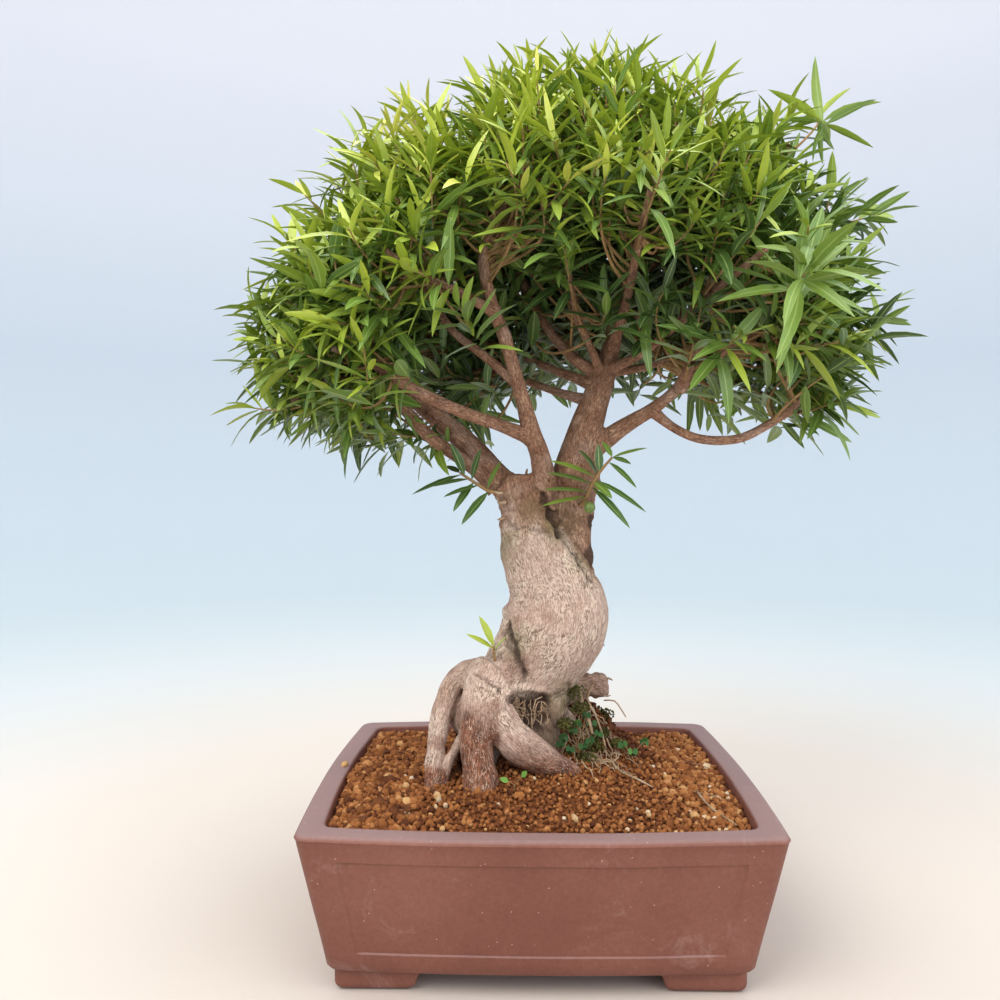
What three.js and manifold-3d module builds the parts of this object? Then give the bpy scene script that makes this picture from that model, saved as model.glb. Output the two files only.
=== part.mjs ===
// Ficus neriifolia bonsai in a rectangular unglazed pot, at its real size in millimetres, +Z up.
// While the pieces are made, the pot's middle is X = Y = 0 and the body of the pot starts at
// Z = POT_BASE. At the end the whole group is moved so that the middle of its bounding box on the
// table is the origin.
import * as THREE from 'three';
import { mergeVertices } from 'three/addons/utils/BufferGeometryUtils.js';
import Module from 'manifold-3d';

const wasm = await Module();
wasm.setup();

const { Vector3 } = THREE;
const random = THREE.MathUtils.seededRandom;

// Gap that stands between two pieces that touch
const SEAT_GAP = 0.3;

// Pot: sizes at the rim's corners, with the bow added at the middle of each side: the first for
// the two ends and the second for the front and the back
const POT_LENGTH = 412;
const POT_DEPTH = 346;
const POT_TOP = 141;
const POT_BASE = 16;
const POT_BOWS = [6, 9];
const POT_TAPER = 23;
const POT_OUTER_CORNER = 12;
const POT_INNER_CORNER = 12;
const RIM_WIDTH = 22;
const POT_FLOOR_TOP = 30;
const POT_FLOOR_INSET = 36;
const INNER_WALL_POINTS = 9;
const PANEL_DEPTH = 1.5;
const PANEL_TOP = 119;
const PANEL_BOTTOM = 34;
const PANEL_HALF_SHARE = 0.895;
const PANEL_EDGE_SHARE = 0.012;
const EDGE_ROUND = 4;
const FOOT_HEIGHT = 20;
const FOOT_LENGTH = 79;
const FOOT_DEPTH_LENGTH = 66;
const FOOT_WIDTH = 24;
const FOOT_INSET = 6;
const FOOT_SINK = 2;
const DRAIN_RADIUS = 13;
const DRAIN_X = 85;

// Plastic net plate over each drain hole
const NET_SIZE = 44;
const NET_THICKNESS = 1.4;
const NET_SLOTS = 4;
const NET_SLOT_WIDTH = 5;
const NET_SLOT_LENGTH = 34;

// Soil bed: level at the walls, rise at the trunk, and the earth mound on the right of the trunk
const SOIL_AT_WALL = 133;
const SOIL_RISE = 22;
const SOIL_RISE_REACH = { x: 120, y: 120 };
const SOIL_CENTRE = { x: -20, y: -20 };
const MOUND_CENTRE = { x: 50, y: 40 };
const MOUND_RISE = 54;
const MOUND_REACH = { x: 52, y: 34 };
const GRAIN_RELIEF = 2.2;
const SOIL_RINGS = 6;
const SOIL_SEED = 11;

// Leaves: real length and width of a blade with their spread, how deep the keel under its midrib
// is, how far the blade arches, and where along its length it is widest
const LEAF_LENGTH = 62;
const LEAF_WIDTH = 13.5;
const LENGTH_SPREAD = 0.16;
const WIDTH_SPREAD = 0.1;
const LEAF_KEEL = 2;
const LEAF_ARCH = 3;
const WIDEST_SHARE = 0.42;
// A spray's leaves stand out of its small core: on one face in four all round, and on this share
// of the faces that look out of the crown
const ALL_ROUND_STEP = 4;
const OUTER_SHARE = 0.5;
// How far the tips of a spray sag, and how far they lean out of the crown
const SPRAY_REACH = 80;
const SPRAY_SAG = 12;
const SPRAY_LEAN = 12;
const CROWN_CENTRE = new Vector3(30, 10, 600);
// Half of the gap kept between neighbouring sprays, and the clearance of leaves from branches
const SPRAY_HALF_GAP = 0.8;
const BRANCH_CLEARANCE = 7;
// A leaf that isn't clear is shortened in these steps down to the least share of its length
const LEAST_LEAF_SHARE = 0.5;
const LEAF_SHARE_STEP = 0.12;
// Arch of a shoot's leaf as a share of its length
const SHOOT_LEAF_ARCH = 0.06;
// Seed of every leaf's small differences
const LEAF_SEED = 29;

// Limbs: points [x, y, z, radius] on the centre line, from the thick end to the thin one
const TRUNK = {
  sides: 14,
  steps: 14,
  flatten: 0.86,
  flutes: 0.05,
  points: [
    [-24, 0, 128, 50], [-23, 0, 180, 46], [-19, 0, 222, 43], [-9, 0, 243, 44], [3, 0, 261, 47],
    [13.5, 0, 279, 52], [19, 0, 297, 53], [19.5, 0, 314, 50], [15, 0, 332, 44], [7, 0, 350, 39],
    [0, 1, 368, 35.5], [-6, 2, 386, 30], [-11, 2, 406, 25], [-13, 2, 424, 23.5], [-13, 2, 440, 22],
  ],
};

const ROOTS = [
  { sides: 8, points: [[-40, 14, 236, 16], [-59, 14, 238, 13], [-72, 2, 238, 12], [-84, -12, 229, 11],
    [-92, -30, 207, 10], [-97, -47, 177, 8.5], [-99, -59, 150, 7], [-100, -65, 128, 7]] },
  { sides: 10, points: [[-40, -12, 238, 29], [-48, -30, 224, 26], [-56, -48, 204, 18], [-58, -62, 180, 15],
    [-54, -70, 154, 16.5], [-53, -73, 128, 18]] },
  { sides: 9, points: [[-45, -40, 214, 23], [-32, -50, 196, 18], [-15, -52, 179, 18], [4, -46, 165, 16],
    [24, -36, 152, 13], [46, -24, 134, 11]] },
  { sides: 10, points: [[2, 4, 240, 34], [6, -2, 214, 26], [5, -6, 198, 21], [1, -8, 178, 17],
    [0, -6, 128, 15]] },
  { sides: 7, points: [[20, 16, 214, 18], [46, 26, 219, 13], [62, 30, 219, 12], [73, 32, 219, 10]] },
  { sides: 6, points: [[-60, -18, 194, 7], [-78, -42, 174, 5.5], [-86, -58, 158, 5], [-89, -66, 128, 5]] },
  { sides: 7, points: [[-62, -4, 214, 9], [-70, -14, 207, 11], [-72, -18, 196, 10], [-66, -16, 184, 8]] },
  { sides: 6, points: [[24, 20, 196, 9], [40, 22, 178, 8], [58, 18, 160, 6], [74, 10, 136, 5]] },
  { sides: 6, points: [[-20, 30, 214, 24], [-30, 52, 184, 17], [-44, 70, 156, 14], [-58, 84, 126, 12]] },
  { sides: 6, points: [[8, 30, 208, 22], [22, 54, 180, 16], [34, 74, 154, 13], [44, 88, 126, 11]] },
];

// A limb that carries a spray ends in the middle of it
const LIMBS = [
  // Right-hand column and the leader that carries the top
  { sides: 10, spray: 'crown_top', points: [[30, 6, 310, 20], [43, 12, 335, 16], [39, 11, 366, 19],
    [35, 10, 403, 22], [41, 10, 440, 24], [49, 10, 480, 18], [58, 12, 508, 15], [67, 14, 534, 13],
    [75, 17, 560, 10], [88, 25, 621, 8], [105, 30, 659, 7.5], [99, 26, 702, 6], [68, 15, 752, 5]] },
  // Two limbs to the left
  { sides: 8, spray: 'left_outer', points: [[-14, 4, 412, 20], [-40, 8, 436, 15], [-62, 12, 463, 12],
    [-88, 14, 487, 11], [-124, 16, 518, 9], [-156, 20, 558, 7], [-192, 20, 596, 6]] },
  { sides: 5, spray: 'left_low', points: [[-40, 8, 430, 10], [-74, 2, 454, 7], [-106, -10, 477, 6.5],
    [-128, -15, 501, 6], [-150, -20, 521, 5], [-184, -20, 533, 4.5], [-215, -16, 530, 4]] },
  // Pale middle limb in front, with its forks
  { sides: 8, spray: 'front_top', points: [[10, -6, 404, 14], [8, -12, 434, 12], [3, -18, 459, 10],
    [-6, -24, 483, 9], [-14, -30, 512, 7.5], [-32, -46, 572, 6.5], [-43, -56, 599, 6], [-49, -76, 648, 5]] },
  { sides: 5, spray: 'front_low_left', points: [[-6, -22, 476, 7], [-39, -34, 488, 6], [-67, -44, 497, 6],
    [-94, -54, 508, 6], [-122, -60, 522, 5.5], [-149, -66, 540, 5]] },
  { sides: 5, spray: 'left_upper', points: [[-16, -34, 524, 5], [-48, -30, 552, 4.5], [-78, -20, 576, 4],
    [-96, -10, 599, 4], [-137, 8, 655, 3.6]] },
  { sides: 5, spray: 'front_left', points: [[-40, -54, 592, 5], [-76, -84, 606, 4.2],
    [-106, -104, 616, 3.8]] },
  // Right limb, with the arched branch that hangs and rises again
  { sides: 7, spray: 'right_middle', points: [[52, 8, 462, 12], [87, 0, 487, 8.5], [119, -12, 507, 6.5],
    [150, -22, 534, 5], [171, -28, 549, 4.5], [206, -32, 574, 4.2]] },
  { sides: 5, spray: 'right_low', points: [[112, -10, 505, 5], [135, -14, 486, 4.5], [159, -16, 475, 4.5],
    [186, -18, 473, 4.5], [210, -20, 479, 4.3], [247, -20, 502, 4]] },
  { sides: 4, spray: 'front_low_right', points: [[140, -20, 524, 5], [144, -58, 544, 4]] },
  // Thin branches off the leader
  { sides: 4, spray: 'back_low_left', points: [[56, 12, 514, 6], [28, 30, 524, 4.5], [-5, 60, 539, 4],
    [-38, 85, 554, 3.8]] },
  { sides: 4, spray: 'back_left', points: [[60, 12, 530, 6], [22, 40, 549, 4.2], [-8, 70, 566, 4],
    [-44, 105, 587, 3.8], [-120, 122, 602, 3.6]] },
  { sides: 4, spray: 'back_upper_left', points: [[66, 14, 540, 7], [35, 20, 563, 5.5], [6, 40, 604, 5],
    [-21, 70, 663, 4.4], [-48, 110, 697, 4]] },
  { sides: 4, spray: 'back_middle', points: [[72, 14, 550, 5.5], [62, 60, 574, 4.6], [44, 122, 604, 4.2]] },
  { sides: 4, spray: 'inner_top', points: [[68, 14, 538, 6], [57, -2, 561, 4], [40, -20, 594, 3.8]] },
  { sides: 4, spray: 'back_low_right', points: [[66, 12, 542, 5], [109, 25, 550, 4.2], [143, 45, 564, 4]] },
  { sides: 4, spray: 'front_right', points: [[70, 14, 545, 6], [105, -8, 560, 4.4], [138, -35, 587, 4],
    [160, -80, 606, 3.8]] },
  { sides: 4, spray: 'upper_left', points: [[-21, 70, 662, 4.4], [-60, 38, 722, 4]] },
  { sides: 7, spray: 'top_right', points: [[98, 28, 642, 7], [120, 22, 705, 6], [138, 15, 756, 4.4]] },
  { sides: 4, spray: 'right_upper', points: [[96, 27, 640, 6.5], [150, 20, 680, 5.2], [205, 10, 722, 4.4]] },
  { sides: 4, spray: 'right_outer', points: [[82, 22, 594, 6.5], [150, 20, 628, 5.2], [220, 16, 652, 4.6]] },
  { sides: 4, spray: 'front_centre', points: [[77, 18, 566, 6], [84, -30, 598, 4.8], [86, -90, 630, 4.2]] },
  { sides: 4, spray: 'back_centre', points: [[102, 30, 652, 6.5], [98, 80, 690, 5], [88, 130, 722, 4.2]] },
  { sides: 4, spray: 'back_right', points: [[104, 30, 658, 6], [150, 70, 682, 5], [195, 110, 704, 4.2]] },
];
const TIP_RADIUS = 3.4;

// Leaf sprays of the crown: middle of each on its branch end, and the radius of its core
const SPRAYS = {
  left_low: [-244, -14, 512, 18],
  left_outer: [-246, 2, 604, 20],
  left_upper: [-200, 0, 700, 20],
  upper_left: [-108, 8, 776, 20],
  crown_top: [24, 0, 808, 20],
  top_right: [146, 8, 803, 20],
  right_upper: [252, 0, 768, 20],
  right_outer: [306, 8, 684, 20],
  right_middle: [302, -14, 592, 20],
  right_low: [262, -18, 520, 18],
  front_left: [-134, -124, 632, 20],
  front_top: [-10, -128, 706, 20],
  front_centre: [88, -166, 670, 20],
  front_right: [190, -138, 628, 20],
  front_low_right: [144, -100, 558, 18],
  front_low_left: [-186, -98, 552, 18],
  inner_top: [30, -38, 636, 18],
  back_left: [-196, 138, 607, 20],
  back_upper_left: [-78, 156, 730, 20],
  back_centre: [80, 180, 750, 20],
  back_right: [236, 150, 720, 20],
  back_low_left: [-94, 132, 558, 18],
  back_low_right: [182, 116, 586, 20],
  back_middle: [26, 182, 632, 20],
};

// Shoots on bare wood: stem points [x, y, z, radius], and leaves as the share of the stem where
// they start, their tip [x, y, z] and their width
const SHOOTS = {
  sprig_left: {
    stem: [[-34, -8, 421, 2.4], [-47, -15, 423, 2.2], [-62, -17, 432, 2], [-76, -16, 441, 1.5]],
    leaves: [
      [0.95, [-123, -22, 419], 9], [0.8, [-101, -32, 427], 8], [0.55, [-90, -36, 417], 8],
      [0.66, [-82, -26, 403], 10], [0.36, [-74, -24, 390], 11], [1, [-91, -10, 448], 9],
      [0.9, [-84, -24, 470], 12], [0.7, [-56, -26, 465], 8], [0.4, [-36, -26, 453], 8],
    ],
  },
  sprig_right: {
    stem: [[41, -4, 404, 2.6], [48, -20, 415, 2.3], [54, -28, 430, 2], [62, -31, 443, 1.8],
      [73, -30, 456, 1.4]],
    leaves: [
      [0.62, [12, -46, 452], 11], [0.52, [10, -46, 440], 10], [0.36, [6, -42, 424], 8],
      [0.3, [5, -38, 408], 7], [0.66, [41, -42, 463], 13], [0.72, [59, -38, 468], 9],
      [0.56, [71, -42, 416], 11], [0.44, [90, -36, 387], 11], [0.6, [106, -34, 402], 10],
      [0.9, [97, -32, 426], 10], [0.98, [64, -24, 472], 7], [1, [90, -38, 449], 9],
      [1, [108, -28, 465], 6],
    ],
  },
  shoot_low: {
    stem: [[-36, -22, 253, 2], [-41, -34, 259, 1.8], [-42, -40, 273, 1.4]],
    leaves: [[1, [-55, -46, 303], 9], [0.94, [-68, -48, 286], 8], [0.8, [-31, -50, 284], 5]],
  },
};

// The fig under the right-hand shoot: its stalk and its body as one short fat limb
const FIG = {
  sides: 8,
  points: [[48, -20, 414, 1.3], [49.5, -25, 411, 2.2], [50.5, -29, 408.5, 5], [51.5, -34, 405.5, 5.6],
    [52.5, -38, 403, 3]],
};

// Weeds in the soil: where the root stands, and the middle of each leaf
const WEEDS = {
  clover: {
    root: [43, -8],
    leaflets: 3,
    leaves: [[27, -19, 179], [41, -13, 191], [54, -15, 174], [56, -8, 189]],
  },
  clover_right: { root: [98, 5], leaflets: 3, leaves: [[88, -2, 166], [111, 8, 167]] },
  seedling: { root: [-22, -82], leaflets: 1, leaves: [[-13, -84, 161], [-32, -84, 160]] },
};
const WEED_ROOT_DEPTH = 7;
const WEED_FORK_HEIGHT = 3;
const WEED_STEM_RADIUS = 0.9;
const LEAFLET_RADIUS = 5;
const LEAFLET_THICKNESS = 1.4;

// A closed surface through a row of rings. The first and the last ring may be a single point, and
// each ring runs anticlockwise seen from the next one.
function loft(rings) {
  const positions = [];
  const starts = [];
  for (const ring of rings) {
    starts.push(positions.length / 3);
    for (const point of ring) positions.push(point.x, point.y, point.z);
  }
  const index = [];
  for (let row = 0; row < rings.length - 1; row += 1) {
    const [from, to] = [starts[row], starts[row + 1]];
    const count = Math.max(rings[row].length, rings[row + 1].length);
    for (let i = 0; i < count; i += 1) {
      const next = (i + 1) % count;
      if (rings[row].length === 1) index.push(from, to + next, to + i);
      else if (rings[row + 1].length === 1) index.push(from + i, from + next, to);
      else index.push(from + i, from + next, to + next, from + i, to + next, to + i);
    }
  }
  const geometry = new THREE.BufferGeometry();
  geometry.setAttribute('position', new THREE.Float32BufferAttribute(positions, 3));
  geometry.setIndex(index);
  return geometry;
}

// A solid that can be joined and cut, from any closed geometry
function solid(geometry) {
  geometry.deleteAttribute('normal');
  geometry.deleteAttribute('uv');
  const merged = mergeVertices(geometry, 1e-4);
  return new wasm.Manifold(new wasm.Mesh({
    numProp: 3,
    vertProperties: new Float32Array(merged.attributes.position.array),
    triVerts: new Uint32Array(merged.index.array),
  }));
}

const joined = (solids) => solids.reduce((sum, next) => sum.add(next));

// The largest connected body of a solid, so that a scrap cut loose is dropped
function mainBody(shape) {
  const bodies = shape.decompose();
  return bodies.reduce((best, next) => (next.volume() > best.volume() ? next : best));
}

// A named mesh of the finished solid
function piece(name, shape, colour, roughness) {
  const { vertProperties, triVerts } = mainBody(shape).getMesh();
  const geometry = new THREE.BufferGeometry();
  geometry.setAttribute('position', new THREE.BufferAttribute(vertProperties, 3));
  geometry.setIndex(new THREE.BufferAttribute(triVerts, 1));
  geometry.computeVertexNormals();
  const material = new THREE.MeshStandardMaterial({ color: colour, roughness, metalness: 0 });
  const mesh = new THREE.Mesh(geometry, material);
  mesh.name = name;
  return mesh;
}

// Pot

// One level ring of the pot: bowed sides and rounded corners, set inside the rim's outline by
// inset. Shares are the places of the points along each side, from -1 to 1, and recess moves the
// points of the panel inwards.
function potRing(z, inset, corner, shares, recess = 0) {
  const ring = [];
  const half = { x: POT_LENGTH / 2 - inset, y: POT_DEPTH / 2 - inset };
  for (let side = 0; side < 4; side += 1) {
    const [outward, along] = side % 2 === 0 ? [half.x, half.y] : [half.y, half.x];
    const turn = (side * Math.PI) / 2;
    const place = (out, run) => ring.push(new Vector3(
      Math.cos(turn) * out - Math.sin(turn) * run,
      Math.sin(turn) * out + Math.cos(turn) * run,
      z,
    ));
    for (const share of shares) {
      const sunk = Math.abs(share) <= PANEL_HALF_SHARE ? recess : 0;
      place(outward + POT_BOWS[side % 2] * (1 - share * share) - sunk, share * (along - corner));
    }
    for (const angle of [Math.PI / 6, Math.PI / 3]) {
      place(outward - corner + corner * Math.cos(angle), along - corner + corner * Math.sin(angle));
    }
  }
  return ring;
}

// Places of evenly spaced points along one side of the pot
const evenShares = (count) => Array.from({ length: count }, (_, i) => -1 + (2 * i) / (count - 1));

// How far the outer face stands inside the rim's outline at a height
const outerInset = (z) => (POT_TAPER * (POT_TOP - z)) / (POT_TOP - POT_BASE);

// How far the inner wall stands inside the rim's outline at a height
function innerInset(z) {
  return RIM_WIDTH + ((POT_FLOOR_INSET - RIM_WIDTH) * (POT_TOP - z)) / (POT_TOP - POT_FLOOR_TOP);
}

// One straight bar of a foot, sunk a little into the body, with its lower outer corner rounded and
// its inner end drawn in an S curve. It starts at X = 0 and runs in the given direction.
function footBar(length, direction) {
  const sunkTop = FOOT_HEIGHT + FOOT_SINK;
  const shape = new THREE.Shape();
  shape.moveTo(0, sunkTop);
  shape.lineTo(0, 8);
  shape.quadraticCurveTo(direction * 0.5, 0, direction * 8, 0);
  shape.lineTo(direction * (length - 20), 0);
  shape.quadraticCurveTo(direction * (length - 9), 0, direction * (length - 7), 9);
  shape.quadraticCurveTo(direction * (length - 6), 14, direction * length, 16.5);
  shape.lineTo(direction * length, sunkTop);
  const bar = new THREE.ExtrudeGeometry(shape, { depth: FOOT_WIDTH, bevelEnabled: false, curveSegments: 3 });
  bar.rotateX(Math.PI / 2);
  bar.translate(0, 0, POT_BASE - FOOT_HEIGHT);
  return bar;
}

// An L-shaped foot under one corner of the pot
function cornerFoot(signX, signY) {
  const edge = {
    x: POT_LENGTH / 2 - POT_TAPER - FOOT_INSET,
    y: POT_DEPTH / 2 - POT_TAPER - FOOT_INSET,
  };
  const alongX = footBar(FOOT_LENGTH, -signX);
  alongX.translate(signX * edge.x, signY > 0 ? edge.y : FOOT_WIDTH - edge.y, 0);
  const alongY = footBar(FOOT_DEPTH_LENGTH, -signY);
  alongY.rotateZ(Math.PI / 2);
  alongY.translate(signX > 0 ? edge.x - FOOT_WIDTH : -edge.x, signY * edge.y, 0);
  return solid(alongX).add(solid(alongY));
}

function makePot() {
  const panel = PANEL_HALF_SHARE;
  const frame = panel + PANEL_EDGE_SHARE;
  const shares = [-1, -frame, -panel, -panel / 2, 0, panel / 2, panel, frame, 1];
  const outer = (z, extra = 0, recess = 0) => (
    potRing(z, outerInset(z) + extra, POT_OUTER_CORNER, shares, recess)
  );
  const inner = (z, inset) => potRing(z, inset, POT_INNER_CORNER, evenShares(INNER_WALL_POINTS));
  const body = loft([
    [new Vector3(0, 0, POT_BASE)],
    outer(POT_BASE, EDGE_ROUND),
    outer(POT_BASE + EDGE_ROUND),
    outer(PANEL_BOTTOM),
    outer(PANEL_BOTTOM + PANEL_DEPTH, 0, PANEL_DEPTH),
    outer(PANEL_TOP - PANEL_DEPTH, 0, PANEL_DEPTH),
    outer(PANEL_TOP),
    outer(POT_TOP - EDGE_ROUND),
    outer(POT_TOP - EDGE_ROUND / 3, EDGE_ROUND / 4),
    outer(POT_TOP, EDGE_ROUND),
    inner(POT_TOP, RIM_WIDTH - EDGE_ROUND),
    inner(POT_TOP - EDGE_ROUND / 2, RIM_WIDTH),
    inner(POT_FLOOR_TOP + EDGE_ROUND, innerInset(POT_FLOOR_TOP + EDGE_ROUND)),
    inner(POT_FLOOR_TOP, POT_FLOOR_INSET + EDGE_ROUND),
    [new Vector3(0, 0, POT_FLOOR_TOP)],
  ]);
  let shape = solid(body);
  for (const signX of [-1, 1]) {
    for (const signY of [-1, 1]) shape = shape.add(cornerFoot(signX, signY));
    const hole = new THREE.CylinderGeometry(DRAIN_RADIUS, DRAIN_RADIUS, POT_TOP, 12);
    hole.rotateX(Math.PI / 2);
    hole.translate(signX * DRAIN_X, 0, 0);
    shape = shape.subtract(solid(hole));
  }
  return shape;
}

// A block over the table's middle line, for the net plates, their slots and their recesses
function block(x, bottom, width, depth, height) {
  const geometry = new THREE.BoxGeometry(width, depth, height);
  geometry.translate(x, 0, bottom + height / 2);
  return solid(geometry);
}

// Net plate that keeps the soil in over a drain hole, with a row of slots
function makeNet(x) {
  let plate = block(x, POT_FLOOR_TOP + SEAT_GAP, NET_SIZE, NET_SIZE, NET_THICKNESS);
  for (let slot = 0; slot < NET_SLOTS; slot += 1) {
    const offset = (slot - (NET_SLOTS - 1) / 2) * 2 * NET_SLOT_WIDTH;
    plate = plate.subtract(block(x + offset, 0, NET_SLOT_WIDTH, NET_SLOT_LENGTH, POT_TOP));
  }
  return plate;
}

// Soil

function bump(x, y, centre, reach) {
  return Math.exp(-(((x - centre.x) / reach.x) ** 2) - ((y - centre.y) / reach.y) ** 2);
}

function soilHeight(x, y) {
  return SOIL_AT_WALL
    + SOIL_RISE * bump(x, y, SOIL_CENTRE, SOIL_RISE_REACH)
    + MOUND_RISE * bump(x, y, MOUND_CENTRE, MOUND_REACH);
}

// Soil bed that fills the pot to its walls, with coarse relief in place of its fine grains
function makeSoil() {
  random(SOIL_SEED);
  const wall = (z, inset) => potRing(z, inset + SEAT_GAP, POT_INNER_CORNER, evenShares(INNER_WALL_POINTS));
  const edge = wall(SOIL_AT_WALL, innerInset(SOIL_AT_WALL));
  const rings = [
    [new Vector3(0, 0, POT_FLOOR_TOP + SEAT_GAP)],
    wall(POT_FLOOR_TOP + SEAT_GAP, POT_FLOOR_INSET + EDGE_ROUND),
    wall(POT_FLOOR_TOP + EDGE_ROUND + SEAT_GAP, innerInset(POT_FLOOR_TOP + EDGE_ROUND)),
    edge,
  ];
  for (let step = 1; step < SOIL_RINGS; step += 1) {
    const share = 1 - step / SOIL_RINGS;
    rings.push(edge.map(({ x, y }) => {
      const relief = GRAIN_RELIEF * (2 * random() - 1);
      return new Vector3(x * share, y * share, soilHeight(x * share, y * share) + relief);
    }));
  }
  rings.push([new Vector3(0, 0, soilHeight(0, 0))]);
  return solid(loft(rings));
}

// Wood

// A tapered limb along smooth curve points, grown all round by extra. A flattened section is
// shallower along Y, and flutes give it ridges that turn slowly round it.
function limb({ points, sides, steps = 0, flatten = 1, flutes = 0 }, extra = 0) {
  const places = points.map(([x, y, z]) => new Vector3(x, y, z));
  const curve = new THREE.CatmullRomCurve3(places, false, 'centripetal');
  const count = steps || points.length - 1;
  const side = new Vector3(1, 0, 0);
  if (Math.abs(curve.getTangent(0).x) > 0.8) side.set(0, 1, 0);
  const rings = [];
  for (let step = 0; step <= count; step += 1) {
    const share = step / count;
    const middle = curve.getPoint(share);
    const along = curve.getTangent(share);
    side.addScaledVector(along, -side.dot(along)).normalize();
    const across = new Vector3().crossVectors(along, side);
    const place = Math.min(share * (points.length - 1), points.length - 1.0001);
    const first = Math.floor(place);
    const radius = THREE.MathUtils.lerp(points[first][3], points[first + 1][3], place - first);
    const end = step === 0 ? -extra : Number(step === count) * extra;
    middle.addScaledVector(along, end);
    const ring = [];
    for (let i = 0; i < sides; i += 1) {
      const angle = (2 * Math.PI * i) / sides;
      const reach = radius * (1 + flutes * Math.sin(3 * angle + 4 * share)) + extra;
      ring.push(middle.clone()
        .addScaledVector(side, reach * Math.cos(angle))
        .addScaledVector(across, reach * flatten * Math.sin(angle)));
    }
    if (step === 0) rings.push([middle.clone()]);
    rings.push(ring);
    if (step === count) rings.push([middle.clone()]);
  }
  return solid(loft(rings));
}

// A limb with the middle of its spray as its last point
function grownIntoSpray({ spray, points, ...rest }) {
  const [x, y, z] = SPRAYS[spray];
  return { ...rest, points: [...points, [x, y, z, TIP_RADIUS]] };
}

const WOOD = [TRUNK, ...ROOTS, ...LIMBS.map(grownIntoSpray)];
const woodGrownBy = (extra) => joined(WOOD.map((shape) => limb(shape, extra)));

// Distance that a point keeps from the bark of the nearest branch
function distanceToWood(point) {
  let nearest = Infinity;
  for (const { points } of WOOD) {
    for (let i = 0; i < points.length - 1; i += 1) {
      const from = new Vector3(...points[i]);
      const to = new Vector3(...points[i + 1]);
      const foot = new THREE.Line3(from, to).closestPointToPoint(point, true, new Vector3());
      nearest = Math.min(nearest, foot.distanceTo(point) - Math.max(points[i][3], points[i + 1][3]));
    }
  }
  return nearest;
}

// Leaves

// A three-sided lanceolate blade from its base to its tip: a right edge, a keel under the midrib
// and a left edge where it is widest, which stands above the straight line by rise
function leafRings(base, tip, upper, width, rise) {
  const along = tip.clone().sub(base).normalize();
  const side = new Vector3().crossVectors(along, upper).normalize();
  const face = new Vector3().crossVectors(side, along).normalize();
  const middle = base.clone().lerp(tip, WIDEST_SHARE).addScaledVector(face, rise);
  const widest = [
    middle.clone().addScaledVector(side, width / 2),
    middle.clone().addScaledVector(face, -LEAF_KEEL),
    middle.clone().addScaledVector(side, -width / 2),
  ];
  return [[base], widest, [tip]];
}

// Whether a point lies inside a spray's own cell, the space nearer to it than to other sprays
function insideCell(point, name) {
  const own = new Vector3(...SPRAYS[name]);
  return Object.entries(SPRAYS).every(([other, place]) => {
    if (other === name) return true;
    const far = new Vector3(...place);
    const lead = (point.distanceToSquared(far) - point.distanceToSquared(own)) / (2 * own.distanceTo(far));
    return lead >= SPRAY_HALF_GAP;
  });
}

// A number spread evenly round one
const about = (spread) => 1 + spread * (2 * random() - 1);

// Keel, right edge, left edge and tip of a crown leaf that stands on the face a, b, c of its core,
// with a as its lowest corner. It is made shorter until it is clear, or it is left out.
function crownLeaf(name, [a, b, c], bend) {
  const foot = a.clone().add(b).add(c).divideScalar(3);
  const heading = foot.clone().normalize();
  const sideways = b.clone().sub(c);
  sideways.addScaledVector(heading, -sideways.dot(heading)).normalize();
  const face = new Vector3().crossVectors(heading, sideways).normalize();
  const fullLength = LEAF_LENGTH * about(LENGTH_SPREAD);
  const width = LEAF_WIDTH * about(WIDTH_SPREAD);
  const clear = (point) => insideCell(point, name) && distanceToWood(point) > BRANCH_CLEARANCE;
  for (let share = 1; share > LEAST_LEAF_SHARE; share -= LEAF_SHARE_STEP) {
    const length = fullLength * share;
    const middle = foot.clone().addScaledVector(heading, length * WIDEST_SHARE);
    middle.addScaledVector(face, LEAF_ARCH);
    const corners = [
      middle.clone().addScaledVector(face, -LEAF_KEEL),
      middle.clone().addScaledVector(sideways, width / 2),
      middle.clone().addScaledVector(sideways, -width / 2),
      foot.clone().addScaledVector(heading, length),
    ].map(bend);
    if (corners.every(clear)) return corners;
  }
  return null;
}

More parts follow.
